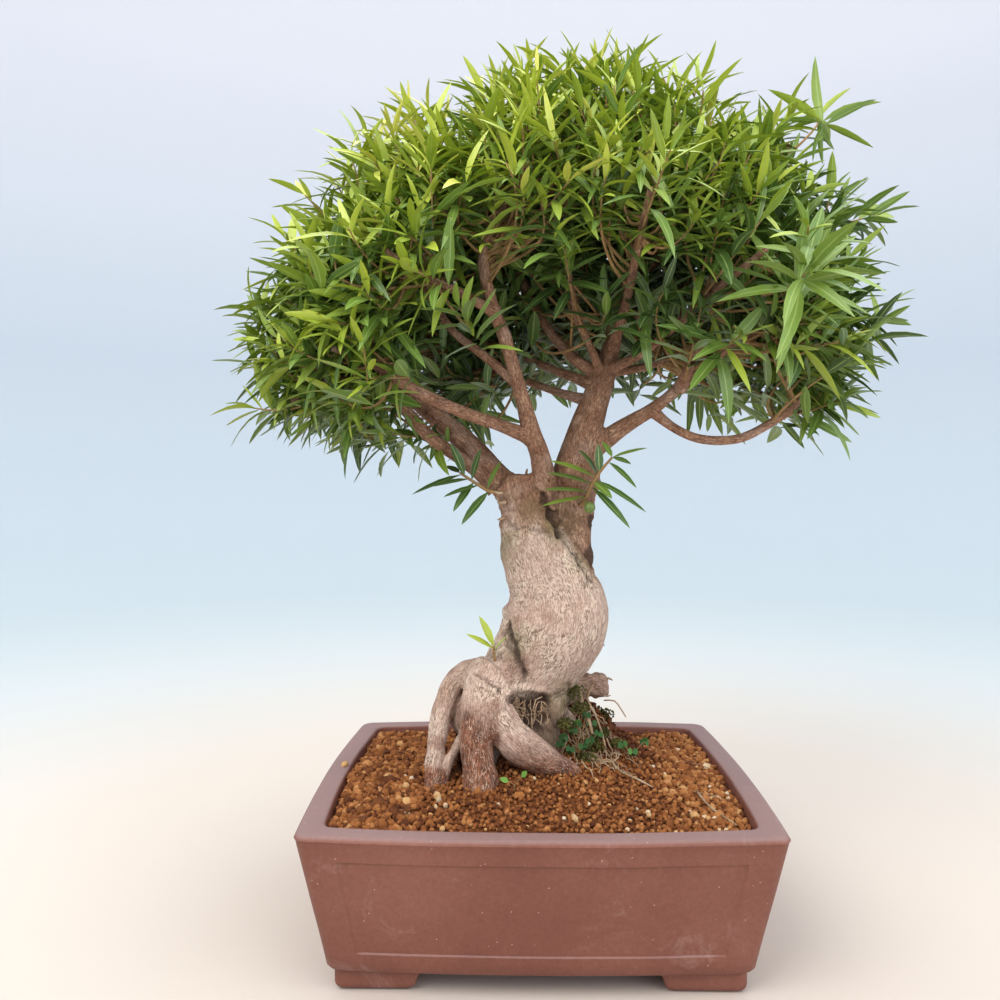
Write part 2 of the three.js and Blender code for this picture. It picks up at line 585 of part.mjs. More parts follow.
// A spray: a small faceted core, most of whose faces are drawn out into leaves, each with a keel
// below, a right and a left edge, and a tip. All of it sags and leans out of the crown together.
function makeSpray(name) {
  const [x, y, z, radius] = SPRAYS[name];
  const middle = new Vector3(x, y, z);
  const outward = middle.clone().sub(CROWN_CENTRE).normalize();
  const bend = (point) => {
    const share = (point.length() / SPRAY_REACH) ** 2;
    const bent = point.clone().add(middle).addScaledVector(outward, SPRAY_LEAN * share);
    bent.z -= SPRAY_SAG * share;
    return bent;
  };
  const ball = new THREE.IcosahedronGeometry(radius, 1);
  ball.rotateX(2 * Math.PI * random());
  ball.rotateZ(2 * Math.PI * random());
  ball.deleteAttribute('normal');
  ball.deleteAttribute('uv');
  const core = mergeVertices(ball, 1e-3);
  const raw = Array.from({ length: core.attributes.position.count }, (_, i) => (
    new Vector3().fromBufferAttribute(core.attributes.position, i)
  ));
  const corners = raw.map(bend);
  const index = [];
  for (let i = 0; i < core.index.count; i += 3) {
    let face = [0, 1, 2].map((k) => core.index.getX(i + k));
    const lowest = face.reduce((low, corner, k) => (raw[corner].z < raw[face[low]].z ? k : low), 0);
    face = [...face.slice(lowest), ...face.slice(0, lowest)];
    const foot = new Vector3().add(raw[face[0]]).add(raw[face[1]]).add(raw[face[2]]).normalize();
    const onTurn = (i / 3) % ALL_ROUND_STEP === 1;
    const leafy = onTurn || (foot.dot(outward) > 0 && random() < OUTER_SHARE);
    const leaf = leafy ? crownLeaf(name, face.map((corner) => raw[corner]), bend) : null;
    if (leaf) {
      const first = corners.length;
      corners.push(...leaf);
      for (let k = 0; k < 3; k += 1) {
        const next = (k + 1) % 3;
        index.push(face[k], face[next], first + next, face[k], first + next, first + k);
        index.push(first + k, first + next, first + 3);
      }
    } else {
      index.push(...face);
    }
  }
  const geometry = new THREE.BufferGeometry().setFromPoints(corners);
  geometry.setIndex(index);
  return solid(geometry);
}

// A point on a stem's centre line at a share of its length
function stemPoint(stem, share) {
  const place = Math.min(share * (stem.length - 1), stem.length - 1.001);
  const first = Math.floor(place);
  return new Vector3(...stem[first]).lerp(new Vector3(...stem[first + 1]), place - first);
}

// A shoot: its stem with each leaf started inside it
function makeShoot({ stem, leaves }) {
  const blades = leaves.map(([share, tipPoint, width]) => {
    const tip = new Vector3(...tipPoint);
    const base = stemPoint(stem, share);
    const upper = new Vector3(0, -0.5, 1);
    return solid(loft(leafRings(base, tip, upper, width, SHOOT_LEAF_ARCH * base.distanceTo(tip))));
  });
  return joined([limb({ sides: 5, points: stem }), ...blades]);
}

// Weeds

// The stems of a weed: one root in the soil that forks to the middle of each leaf, grown by extra
function weedStems({ root: [x, y], leaves }, extra = 0) {
  const ground = soilHeight(x, y);
  const fork = ground + WEED_FORK_HEIGHT;
  const r = WEED_STEM_RADIUS;
  const rootPoints = [[x, y, ground - WEED_ROOT_DEPTH, r], [x, y, fork + 1, 1.3 * r]];
  const root = limb({ sides: 5, points: rootPoints }, extra);
  const stems = leaves.map(([tipX, tipY, tipZ]) => limb({
    sides: 4,
    points: [
      [x, y, fork, r],
      [(x + tipX) / 2, (y + tipY) / 2, fork + 0.6 * (tipZ - fork), r],
      [tipX, tipY, tipZ, r],
    ],
  }, extra));
  return joined([root, ...stems]);
}

// Leaflets round the middle of one leaf, thin six-sided discs that tip towards the front
function weedLeaf([x, y, z], leaflets) {
  const discs = [];
  for (let leaflet = 0; leaflet < leaflets; leaflet += 1) {
    const turn = (2 * Math.PI * leaflet) / leaflets + 0.5;
    const offset = leaflets > 1 ? LEAFLET_RADIUS * 0.85 : 0;
    const lift = offset * Math.sin(turn);
    const middle = new Vector3(x + offset * Math.cos(turn), y - lift / 2, z + lift);
    const ring = [];
    for (let i = 0; i < 6; i += 1) {
      const angle = (Math.PI * i) / 3;
      const across = LEAFLET_RADIUS * Math.cos(angle);
      const up = LEAFLET_RADIUS * 0.8 * Math.sin(angle);
      ring.push(middle.clone().add(new Vector3(across, 0.6 * up, up)));
    }
    const half = new Vector3(0, -1, 0.6).setLength(LEAFLET_THICKNESS / 2);
    discs.push(solid(loft([[middle.clone().sub(half)], ring, [middle.clone().add(half)]])));
  }
  return joined(discs);
}

function makeWeed(weed) {
  return joined([weedStems(weed), ...weed.leaves.map((leaf) => weedLeaf(leaf, weed.leaflets))]);
}

// The whole plant in its pot

const wood = woodGrownBy(0);
const woodSeat = woodGrownBy(SEAT_GAP);

const bonsai = new THREE.Group();
bonsai.add(piece('pot', makePot(), 0x875a50, 0.75));
bonsai.add(piece('drain_mesh_left', makeNet(-DRAIN_X), 0x202422, 0.6));
bonsai.add(piece('drain_mesh_right', makeNet(DRAIN_X), 0x202422, 0.6));
bonsai.add(piece('tree', wood, 0xb59c8a, 0.85));

let soil = makeSoil().subtract(woodSeat);
for (const x of [-DRAIN_X, DRAIN_X]) {
  const room = NET_SIZE + 2 * SEAT_GAP;
  soil = soil.subtract(block(x, 0, room, room, POT_FLOOR_TOP + NET_THICKNESS + 2 * SEAT_GAP));
}
for (const [name, weed] of Object.entries(WEEDS)) {
  soil = soil.subtract(weedStems(weed, SEAT_GAP));
  bonsai.add(piece(name, makeWeed(weed).subtract(woodSeat), 0x3f7a3a, 0.6));
}
bonsai.add(piece('soil', soil, 0x8a5228, 0.95));

random(LEAF_SEED);
for (const name of Object.keys(SPRAYS)) {
  bonsai.add(piece(`foliage_${name}`, makeSpray(name).subtract(woodSeat), 0x6c9a2e, 0.5));
}
for (const [name, shoot] of Object.entries(SHOOTS)) {
  bonsai.add(piece(name, makeShoot(shoot).subtract(woodSeat), 0x3a6428, 0.5));
}
const figSeat = woodSeat.add(limb({ sides: 5, points: SHOOTS.sprig_right.stem }, SEAT_GAP));
bonsai.add(piece('fig', limb(FIG).subtract(figSeat), 0x6f8a3c, 0.5));

// The middle of the bounding box on the table becomes the origin
const bounds = new THREE.Box3().setFromObject(bonsai);
const centre = bounds.getCenter(new Vector3());
bonsai.position.set(-centre.x, -centre.y, -bounds.min.z);
bonsai.updateMatrixWorld(true);

export default bonsai;
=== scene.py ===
import bpy
import numpy as np
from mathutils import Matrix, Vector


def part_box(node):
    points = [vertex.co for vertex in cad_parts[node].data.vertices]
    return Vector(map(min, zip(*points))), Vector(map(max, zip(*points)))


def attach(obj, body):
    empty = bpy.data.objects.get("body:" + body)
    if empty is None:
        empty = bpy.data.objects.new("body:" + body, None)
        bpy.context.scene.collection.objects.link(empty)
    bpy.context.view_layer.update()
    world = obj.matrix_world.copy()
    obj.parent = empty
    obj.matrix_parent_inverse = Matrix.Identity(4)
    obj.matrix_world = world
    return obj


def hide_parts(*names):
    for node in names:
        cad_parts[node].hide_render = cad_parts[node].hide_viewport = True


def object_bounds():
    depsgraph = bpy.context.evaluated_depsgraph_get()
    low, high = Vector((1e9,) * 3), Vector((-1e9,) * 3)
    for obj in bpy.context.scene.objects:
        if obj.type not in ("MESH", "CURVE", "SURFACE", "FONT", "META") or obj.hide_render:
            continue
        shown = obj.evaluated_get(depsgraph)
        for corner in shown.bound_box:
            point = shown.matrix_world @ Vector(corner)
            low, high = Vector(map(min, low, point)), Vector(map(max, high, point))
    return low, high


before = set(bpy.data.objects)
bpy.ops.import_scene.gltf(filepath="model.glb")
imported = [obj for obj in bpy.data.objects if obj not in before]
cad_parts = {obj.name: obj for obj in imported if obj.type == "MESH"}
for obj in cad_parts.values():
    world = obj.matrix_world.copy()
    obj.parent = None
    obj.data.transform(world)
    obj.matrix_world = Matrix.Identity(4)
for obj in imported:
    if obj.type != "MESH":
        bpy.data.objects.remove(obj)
cad_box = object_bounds()

# Pot
# One piece of unglazed purple-brown clay, pressed in a mould and fired: bowed sides that taper to
# the base, a wide flat rim, a shallow panel on each face, two drain holes and four corner feet.
# Sizes are in millimetres from HOME, the point in the frame below the pot's middle.
MM = 0.001
POT_BASE, FOOT_HEIGHT = 16.0, 20.0
pot_low, pot_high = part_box("pot")
HOME = np.array([(pot_low.x + pot_high.x) / 2, (pot_low.y + pot_high.y) / 2,
                 pot_low.z + (FOOT_HEIGHT - POT_BASE) * MM])


def mesh_object(name, points, faces, sharp=180.0):
    """One smooth-shaded object from points in pot millimetres and arrays of faces, each with one
    row of corner numbers a face. Edges that turn more than sharp degrees stay crisp."""
    mesh = bpy.data.meshes.new(name)
    mesh.vertices.add(len(points))
    mesh.vertices.foreach_set("co", (np.asarray(points) * MM + HOME).astype(np.float32).ravel())
    corners = np.concatenate([rows.ravel() for rows in faces])
    sizes = np.concatenate([np.full(len(rows), rows.shape[1]) for rows in faces])
    mesh.loops.add(len(corners))
    mesh.loops.foreach_set("vertex_index", corners.astype(np.int32))
    mesh.polygons.add(len(sizes))
    mesh.polygons.foreach_set("loop_start", (np.cumsum(sizes) - sizes).astype(np.int32))
    mesh.update(calc_edges=True)
    mesh.shade_smooth()
    mesh.set_sharp_from_angle(angle=np.radians(sharp))
    piece = bpy.data.objects.new(name, mesh)
    bpy.context.scene.collection.objects.link(piece)
    return piece


def ring_faces(steps, around):
    """Faces between rings of points numbered in turn: quads from ring to ring, and triangles from
    the first and the last ring to one more point each."""
    here = np.arange(steps * around).reshape(steps, around)
    there = np.roll(here, -1, axis=1)
    quads = np.stack([here[:-1], there[:-1], there[1:], here[1:]], axis=-1).reshape(-1, 4)
    first_middle = np.full(around, steps * around)
    start = np.stack([there[0], here[0], first_middle], axis=-1)
    end = np.stack([here[-1], there[-1], first_middle + 1], axis=-1)
    return quads, np.concatenate([start, end])


def loft(rings):
    """Points and faces of a closed surface through rings of equally many points, an array of
    steps by points by 3. One more point shuts the first and the last ring at its middle."""
    points = np.concatenate([rings.reshape(-1, 3), rings[[0, -1]].mean(axis=1)])
    return points, ring_faces(*rings.shape[:2])


def joined(parts):
    """Points and faces of several surfaces as one list of points and one array a face size."""
    first = np.cumsum([0] + [len(points) for points, _ in parts])
    rows = [array + start for (_, faces), start in zip(parts, first) for array in faces]
    sizes = sorted({array.shape[1] for array in rows})
    faces = [np.concatenate([array for array in rows if array.shape[1] == size]) for size in sizes]
    return np.concatenate([points for points, _ in parts]), faces


def soft_noise(points, size, seed=0):
    """Smooth random field from -1 to 1: a random value at each corner of cubes of this size,
    blended between the corners by the smooth step of the place inside the cube."""
    cell = np.asarray(points, float) / size
    base = np.floor(cell).astype(np.int64)
    blend = cell - base
    blend = blend * blend * (3 - 2 * blend)
    total = np.zeros(len(cell))
    for corner in np.ndindex(2, 2, 2):
        key = (base + corner) @ np.array([127, 311, 74]) + 53 * seed
        value = np.modf(np.abs(np.sin(key * 12.9898) * 43758.5453))[0]
        total += np.where(corner, blend, 1 - blend).prod(axis=1) * (2 * value - 1)
    return total


def ramp(value, low, high):
    """Smooth step from 0 at low to 1 at high."""
    share = np.clip((value - low) / (high - low), 0, 1)
    return share * share * (3 - 2 * share)


def full_turn(count):
    """Angles of places evenly round a circle."""
    return np.linspace(0, 2 * np.pi, count, endpoint=False)


def apply_modifiers(piece):
    """Gives a piece the mesh that its modifiers make of it, and takes them off."""
    bpy.context.view_layer.update()
    made = piece.evaluated_get(bpy.context.evaluated_depsgraph_get())
    piece.data = bpy.data.meshes.new_from_object(made)
    piece.modifiers.clear()


POT_HALF = np.array([206.0, 173.0])
POT_BOWS, BASE_BOW = np.array([6.0, 9.0]), 0.65
POT_TOP, POT_TAPER, POT_CORNER, CORNER_POINTS = 141.0, 23.0, 12.0, 8
RIM_WIDTH, RIM_ROUND, LIP_ROUND, BASE_ROUND = 22.0, 5.5, 3.0, 4.0
POT_FLOOR, FLOOR_INSET = 30.0, 36.0
PANEL_LOW, PANEL_HIGH, PANEL_SHARE = 34.0, 119.0, 0.895
PANEL_DEPTH, PANEL_SLOPE, PANEL_SIDE_SLOPE = 1.5, 1.5, 0.008
DRAIN_PLACES, DRAIN_RADIUS, DRAIN_POINTS = (-85.0, 85.0), 13.0, 48


def pot_rings(height, inset, shares):
    """Level rings of the pot, one for each height. A side point at share s stands half the size
    less the inset, plus the bow times 1 - s squared, out of the middle; corners are quarter arcs.
    The bow is full at the rim and BASE_BOW of that at the base."""
    height, inset = np.asarray(height, float)[:, None], np.asarray(inset, float)[:, None]
    fullness = 1 - (1 - BASE_BOW) * (POT_TOP - height) / (POT_TOP - POT_BASE)
    arc = np.linspace(0, np.pi / 2, CORNER_POINTS + 2)[1:-1]
    sides = []
    for side in range(4):
        outward, along = POT_HALF[[side % 2, 1 - side % 2]][:, None, None] - inset
        bow = POT_BOWS[side % 2] * fullness * (1 - shares**2)
        out = np.hstack([outward + bow, outward - POT_CORNER * (1 - np.cos(arc))])
        run = np.hstack([shares * (along - POT_CORNER), along - POT_CORNER * (1 - np.sin(arc))])
        turn = side * np.pi / 2
        level = np.broadcast_to(height, out.shape)
        x = np.cos(turn) * out - np.sin(turn) * run
        y = np.sin(turn) * out + np.cos(turn) * run
        sides.append(np.stack([x, y, level], axis=-1))
    return np.concatenate(sides, axis=1)


def outer_inset(height):
    """How far the pot's outside stands in from the rim's edge at a height."""
    return POT_TAPER * (POT_TOP - height) / (POT_TOP - POT_BASE)


def inner_inset(height):
    """How far the pot's inside stands in from the rim's edge at a height."""
    return RIM_WIDTH + (FLOOR_INSET - RIM_WIDTH) * (POT_TOP - height) / (POT_TOP - POT_FLOOR)


HAND_MARK = 0.35
FOOT_WIDTH, FOOT_TOP, FOOT_CORNER = 24.0, 22.0, 6.0
FOOT_LENGTHS, FOOT_EDGE = (79.0, 66.0), POT_HALF - POT_TAPER - 6


def corner_foot(sign_x, sign_y):
    """One L-shaped foot: a section carried from one inner end round the corner to the other. Its
    outer and inner edges are two paths, and its underside rises in an S towards each inner end."""
    from_end = np.array([0, 3, 6, 7.4, 8.2, 9.3, 11.5, 16, 24])
    lift = np.array([16.5, 15.6, 13, 9.6, 6.6, 3.6, 1.3, 0.1, 0])
    quarter = np.linspace(0, np.pi / 2, 5)
    bars = [np.concatenate([length - from_end, [FOOT_WIDTH, 12, 6]]) for length in FOOT_LENGTHS]
    along_x = np.column_stack([bars[0], np.zeros(12)])
    along_y = np.column_stack([np.zeros(12), bars[1]])[::-1]
    arc = FOOT_CORNER * np.column_stack([1 - np.sin(quarter), 1 - np.cos(quarter)])
    outer = np.concatenate([along_x, arc, along_y])
    inner = np.maximum(outer, FOOT_WIDTH)
    rise = np.concatenate([lift, np.zeros(11), lift[::-1]])[:, None]
    depth = np.array([0, 0, 0.7, 2.3, 4.6, 7.5, FOOT_WIDTH - 2.4, FOOT_WIDTH - 0.5,
                      FOOT_WIDTH, FOOT_WIDTH])
    level = np.array([FOOT_TOP, 7.5, 4.4, 2.1, 0.6, 0, 0, 0.7, 2.8, FOOT_TOP])
    plan = outer[:, None] + (inner - outer)[:, None] * (depth / FOOT_WIDTH)[None, :, None]
    height = rise + (FOOT_TOP - rise) * level / FOOT_TOP + POT_BASE - FOOT_HEIGHT
    place = (FOOT_EDGE - plan) * (sign_x, sign_y)
    rings = np.concatenate([place, height[..., None]], axis=2)
    return loft(rings[:, ::-1] if sign_x * sign_y > 0 else rings)


edge_shares = PANEL_SHARE + np.array([-0.009, -0.006, -0.001, 0.002])
side_shares = np.sort(np.concatenate([np.linspace(-1, 1, 25), edge_shares, -edge_shares]))
quarter = np.linspace(0, np.pi / 2, 7)
panel_steps = np.array([-0.6, 0.1, 1.4, 2.0])
wall = np.sort(np.concatenate([np.linspace(POT_BASE + BASE_ROUND, POT_TOP - RIM_ROUND, 14),
                               PANEL_LOW + panel_steps, PANEL_HIGH - panel_steps]))
inner_wall = np.linspace(POT_TOP - 8, POT_FLOOR + 5, 10)
heights = np.concatenate([
    POT_BASE + BASE_ROUND * (1 - np.cos(quarter[:-1])), wall,
    POT_TOP - RIM_ROUND * (1 - np.sin(quarter[1:])), np.full(3, POT_TOP),
    POT_TOP - LIP_ROUND * (1 - np.cos(quarter[1:])), inner_wall, [POT_FLOOR + 1.5, POT_FLOOR]])
insets = np.concatenate([
    outer_inset(POT_BASE) + BASE_ROUND * (1 - np.sin(quarter[:-1])), outer_inset(wall),
    RIM_ROUND * (1 - np.cos(quarter[1:])), [8, 12, 16],
    RIM_WIDTH - LIP_ROUND * (1 - np.sin(quarter[1:])), inner_inset(inner_wall),
    [FLOOR_INSET + 1.5, FLOOR_INSET + 6]])
pot_body = pot_rings(heights, insets, side_shares)
outside = np.arange(len(heights)) < len(quarter) - 1 + len(wall)
framed = ramp(heights, PANEL_LOW, PANEL_LOW + PANEL_SLOPE)
framed *= ramp(-heights, -PANEL_HIGH, PANEL_SLOPE - PANEL_HIGH)
side_share = np.tile(np.concatenate([side_shares, np.full(CORNER_POINTS, 2.0)]), 4)
inside_frame = ramp(-np.abs(side_share), -PANEL_SHARE, PANEL_SIDE_SLOPE - PANEL_SHARE)
recess = PANEL_DEPTH * (outside * framed)[:, None] * inside_frame
face = np.repeat(np.arange(4) * np.pi / 2, len(side_shares) + CORNER_POINTS)
pot_body[..., 0] -= recess * np.cos(face)
pot_body[..., 1] -= recess * np.sin(face)
flat = pot_body.reshape(-1, 3)
hand = np.stack([soft_noise(flat, 45, 1), soft_noise(flat, 45, 2), soft_noise(flat, 60, 3)], axis=-1)
lift = (flat[:, 2] > POT_BASE + 1)[:, None]
pot_body = (flat + HAND_MARK * hand * lift).reshape(pot_body.shape)
pot = mesh_object("pot_body", *loft(pot_body), sharp=50)

feet = [corner_foot(sign_x, sign_y) for sign_x in (-1, 1) for sign_y in (-1, 1)]
pot_feet = mesh_object("pot_feet", *joined(feet), sharp=50)

drain_turn = full_turn(DRAIN_POINTS)
drain_circle = DRAIN_RADIUS * np.column_stack([np.cos(drain_turn), np.sin(drain_turn), 0 * drain_turn])
for drain_x in DRAIN_PLACES:
    ring = drain_circle + (drain_x, 0, 0)
    cutter = mesh_object("drain_cutter", *loft(np.stack([ring, ring + (0, 0, POT_FLOOR + 20)])))
    hole = pot.modifiers.new("drain_hole", "BOOLEAN")
    hole.operation, hole.solver, hole.object = "DIFFERENCE", "EXACT", cutter
    apply_modifiers(pot)
    bpy.data.objects.remove(cutter)


def fill(made, inputs):
    """Fills a node's inputs, by name or number: an output of another node is linked to the input,
    any other value is set on it."""
    for key, value in inputs.items():
        if isinstance(value, bpy.types.NodeSocket):
            made.id_data.links.new(value, made.inputs[key])
        else:
            made.inputs[key].default_value = value


def node(nodes, kind, inputs=None, **settings):
    """Outputs of a new shader node of this kind, with its settings and its filled inputs."""
    made = nodes.new("ShaderNode" + kind)
    for key, value in settings.items():
        setattr(made, key, value)
    fill(made, inputs or {})
    return made.outputs


def new_material(name, roughness, specular):
    """A material with its Principled shader and its nodes."""
    material = bpy.data.materials.new(name)
    material.use_nodes = True
    nodes = material.node_tree.nodes
    shader = nodes["Principled BSDF"]
    fill(shader, {"Roughness": roughness, "Specular IOR Level": specular})
    return material, shader, nodes


def noise(nodes, place, scale, detail, roughness, distortion=0.0):
    """Value from 0 to 1 of a Noise Texture over a place."""
    return node(nodes, "TexNoise", {"Vector": place, "Scale": scale, "Detail": detail,
                                    "Roughness": roughness, "Distortion": distortion})["Fac"]


def math(nodes, operation, *values):
    """Result of a Math node over numbers and outputs of other nodes."""
    return node(nodes, "Math", dict(enumerate(values)), operation=operation)["Value"]


def layer(nodes, below, above, mask):
    """Colour of one layer with another over it, as far as the mask says."""
    return node(nodes, "Mix", {"Factor": mask, "A": below, "B": above}, data_type="RGBA")["Result"]


def map_range(nodes, value, **ends):
    """Straight map of a value, with the ends of its ranges that aren't 0 and 1."""
    named = {key.replace("_", " ").title(): end for key, end in ends.items()}
    return node(nodes, "MapRange", {"Value": value, **named})["Result"]


def colour_ramp(nodes, value, stops):
    """Colour of a value by a Color Ramp with stops of a place and a grey or (red, green, blue)."""
    made = nodes.new("ShaderNodeValToRGB")
    fill(made, {"Fac": value})
    elements = made.color_ramp.elements
    while len(elements) < len(stops):
        elements.new(0.5)
    for element, (place, colour) in zip(elements, stops):
        element.position = place
        element.color = (*np.broadcast_to(colour, 3), 1)
    return made.outputs["Color"]


def mottle_group():
    """Cloudy variation for any finish: a fine and a coarse noise over Place, mixed into one mask
    from 0 to 1, and a height for relief."""
    group = bpy.data.node_groups.new("mottle", "ShaderNodeTree")
    for name, kind in (("Place", "NodeSocketVector"), ("Coarse", "NodeSocketFloat"),
                       ("Fine", "NodeSocketFloat")):
        group.interface.new_socket(name, in_out="INPUT", socket_type=kind)
    for name in ("Cloud", "Height"):
        group.interface.new_socket(name, in_out="OUTPUT", socket_type="NodeSocketFloat")
    nodes = group.nodes
    enter, leave = nodes.new("NodeGroupInput").outputs, nodes.new("NodeGroupOutput")
    coarse, fine = (noise(nodes, enter["Place"], enter[scale], detail, roughness)
                    for scale, detail, roughness in (("Coarse", 4.0, 0.6), ("Fine", 3.0, 0.7)))
    cloud = node(nodes, "Mix", {"Factor": 0.4, "A": coarse, "B": fine}, data_type="FLOAT")["Result"]
    fill(leave, {"Cloud": cloud, "Height": fine})
    return group


MOTTLE = mottle_group()


def mottle(nodes, coarse, fine):
    """Outputs of the mottle over a piece's own place, with the scales of its two noises."""
    place = node(nodes, "TexCoord")["Object"]
    return node(nodes, "Group", {"Place": place, "Coarse": coarse, "Fine": fine}, node_tree=MOTTLE)


def add_bump(nodes, shader, height, strength, distance):
    """Gives a shader relief by a height."""
    bump = node(nodes, "Bump", {"Strength": strength, "Distance": distance, "Height": height})
    fill(shader, {"Normal": bump["Normal"]})


def mottled_material(name, surface, scales, stops, relief):
    """A material in a ramp's colours over the mottle, with relief by the same: its roughness and
    specular level, the mottle's scales, the ramp's stops, and the relief's strength and distance."""
    material, shader, nodes = new_material(name, *surface)
    clouds = mottle(nodes, *scales)
    fill(shader, {"Base Color": colour_ramp(nodes, clouds["Cloud"], stops)})
    add_bump(nodes, shader, clouds["Height"], *relief)
    return material


clay, shader, nodes = new_material("fired_clay", 0.55, 0.35)
place = node(nodes, "TexCoord")["Object"]
clouds = mottle(nodes, 9.0, 260.0)
colour = colour_ramp(nodes, clouds["Cloud"], [
    (0.3, (0.145, 0.049, 0.034)), (0.5, (0.188, 0.066, 0.043)), (0.72, (0.24, 0.094, 0.066))])
smears = noise(nodes, place, 14.0, 6.0, 0.75, 1.4)
colour = layer(nodes, colour, (0.42, 0.27, 0.23, 1), colour_ramp(nodes, smears, [(0.57, 0), (0.78, 0.4)]))
# Painted sheen, with some pale dust: faces that look upwards, the rim top most of all, are mixed towards a
# pale grey-pink
facing = node(nodes, "SeparateXYZ", {"Vector": node(nodes, "NewGeometry")["Normal"]})["Z"]
dust_and_sheen = map_range(nodes, facing, from_min=0.5, from_max=0.95, to_max=0.38)
colour = layer(nodes, colour, (0.36, 0.29, 0.29, 1), dust_and_sheen)
specks = node(nodes, "TexVoronoi", {"Vector": place, "Scale": 170.0})
speck = colour_ramp(nodes, specks["Distance"], [(0.05, 1), (0.09, 0)])
rare = colour_ramp(nodes, specks["Color"], [(0.66, 0), (0.7, 1)])
colour = layer(nodes, colour, (0.62, 0.5, 0.44, 1), math(nodes, "MULTIPLY", speck, rare))
fill(shader, {"Base Color": colour})
add_bump(nodes, shader, clouds["Height"], 0.25, 0.0006)

for piece in (pot, pot_feet):
    piece.data.materials.clear()
    piece.data.materials.append(clay)
    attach(piece, "root")
    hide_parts("pot")

# Drain meshes
# A black plastic net plate over each drain hole keeps the soil in. Each is a stock part, tied
# down by the soil's weight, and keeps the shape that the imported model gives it.
net = mottled_material("drain_net", (0.55, 0.5), (60.0, 900.0),
                       [(0.3, (0.012, 0.014, 0.013)), (0.7, (0.035, 0.038, 0.034))], (0.2, 0.0003))
for name in ("drain_mesh_left", "drain_mesh_right"):
    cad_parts[name].data.materials.clear()
    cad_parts[name].data.materials.append(net)

# Soil
# Baked clay grains, mostly 3 to 9 mm across, over a bed of the same, heaped towards the trunk, with
# a mound of old dark earth on the right of it. Every grain is a rough lump bedded in the surface.
SOIL_AT_WALL, BED_GAP = 133.0, 2.3


def bell(points, middle, reach):
    """Bell curve of each point's distance from a middle: 1 there, and 1 / e at the reach, which is
    one number or one for each axis."""
    return np.exp(-(((np.asarray(points) - middle) / reach) ** 2).sum(axis=-1))


def mound_share(places):
    """Share of the earth mound's height at rows of x and y, 1 in the mound's middle."""
    return bell(places, (50, 40), (52, 34))


def soil_height(places):
    """Level at the walls plus a low wide bell curve at the trunk and the steep earth mound."""
    return SOIL_AT_WALL + 22 * bell(places, (-20, -20), 120) + 54 * mound_share(places)


def soil_surface(places):
    """The soil's level at rows of x and y with the clods of the mound on it."""
    flat = np.column_stack([places, np.zeros(len(places))])
    return soil_height(places) + 4 * mound_share(places) * soft_noise(flat, 11, 14)


bed_heights = np.array([POT_FLOOR + BED_GAP, POT_FLOOR + 6, 80, SOIL_AT_WALL - 1])
bed_walls = pot_rings(bed_heights, inner_inset(bed_heights) + BED_GAP, np.linspace(-1, 1, 40))
bed_rings = [bed_walls]
for share in np.linspace(1, 0.01, 48):
    ring = bed_walls[-1] * (share, share, 1)
    ring[:, 2] = soil_surface(ring[:, :2]) - 1.5 + 1.2 * soft_noise(ring * (1, 1, 0), 5, 4)
    bed_rings.append(ring[None])
soil_bed = mesh_object("soil_bed", *loft(np.concatenate(bed_rings)))

GOLDEN = (1 + 5**0.5) / 2
lump = np.array([(-1, GOLDEN, 0), (1, GOLDEN, 0), (-1, -GOLDEN, 0), (1, -GOLDEN, 0), (0, -1, GOLDEN),
                 (0, 1, GOLDEN), (0, -1, -GOLDEN), (0, 1, -GOLDEN), (GOLDEN, 0, -1), (GOLDEN, 0, 1),
                 (-GOLDEN, 0, -1), (-GOLDEN, 0, 1)]) / (1 + GOLDEN**2) ** 0.5
lump_faces = np.array([(0, 11, 5), (0, 5, 1), (0, 1, 7), (0, 7, 10), (0, 10, 11), (1, 5, 9), (5, 11, 4),
                       (11, 10, 2), (10, 7, 6), (7, 1, 8), (3, 9, 4), (3, 4, 2), (3, 2, 6), (3, 6, 8),
                       (3, 8, 9), (4, 9, 5), (2, 4, 11), (6, 2, 10), (8, 6, 7), (9, 8, 1)])


def random_turns(rng, count):
    """Random rotations: the orthogonal part of square matrices of bell-curve numbers."""
    turns, _ = np.linalg.qr(rng.normal(size=(count, 3, 3)))
    return turns * np.sign(np.linalg.det(turns))[:, None, None]


def unit(vectors):
    """The vectors at length 1."""
    return vectors / np.linalg.norm(vectors, axis=-1, keepdims=True)


def unit_ball(rng, count):
    """Random places inside a ball of radius 1: bell-curve directions, cube-root distances."""
    heading = unit(rng.normal(size=(count, 3)))
    return heading * np.cbrt(rng.random((count, 1)))


def lumps(rng, places, radii, roughness=0.2):
    """Rough grains: a twenty-faced ball for each place, with each corner's radius drawn at
    random, squeezed along one axis and turned at random."""
    count = len(places)
    shape = lump * (1 + roughness * rng.uniform(-1, 1, (count, len(lump), 1)))
    shape = shape * rng.uniform((0.9, 0.75, 0.62), (1.15, 1.0, 0.9), (count, 3))[:, None]
    shape = np.einsum("nij,nkj->nki", random_turns(rng, count), shape)
    points = places[:, None] + radii[:, None, None] * shape
    faces = lump_faces + len(lump) * np.arange(count)[:, None, None]
    return points.reshape(-1, 3), [faces.reshape(-1, 3)]


def point_values(piece, name, values):
    """Stores one number a point, or three, as an attribute for the material."""
    values = np.asarray(values, np.float32)
    kind, key = ("FLOAT", "value") if values.ndim == 1 else ("FLOAT_VECTOR", "vector")
    piece.data.attributes.new(name, kind, "POINT").data.foreach_set(key, values.ravel())


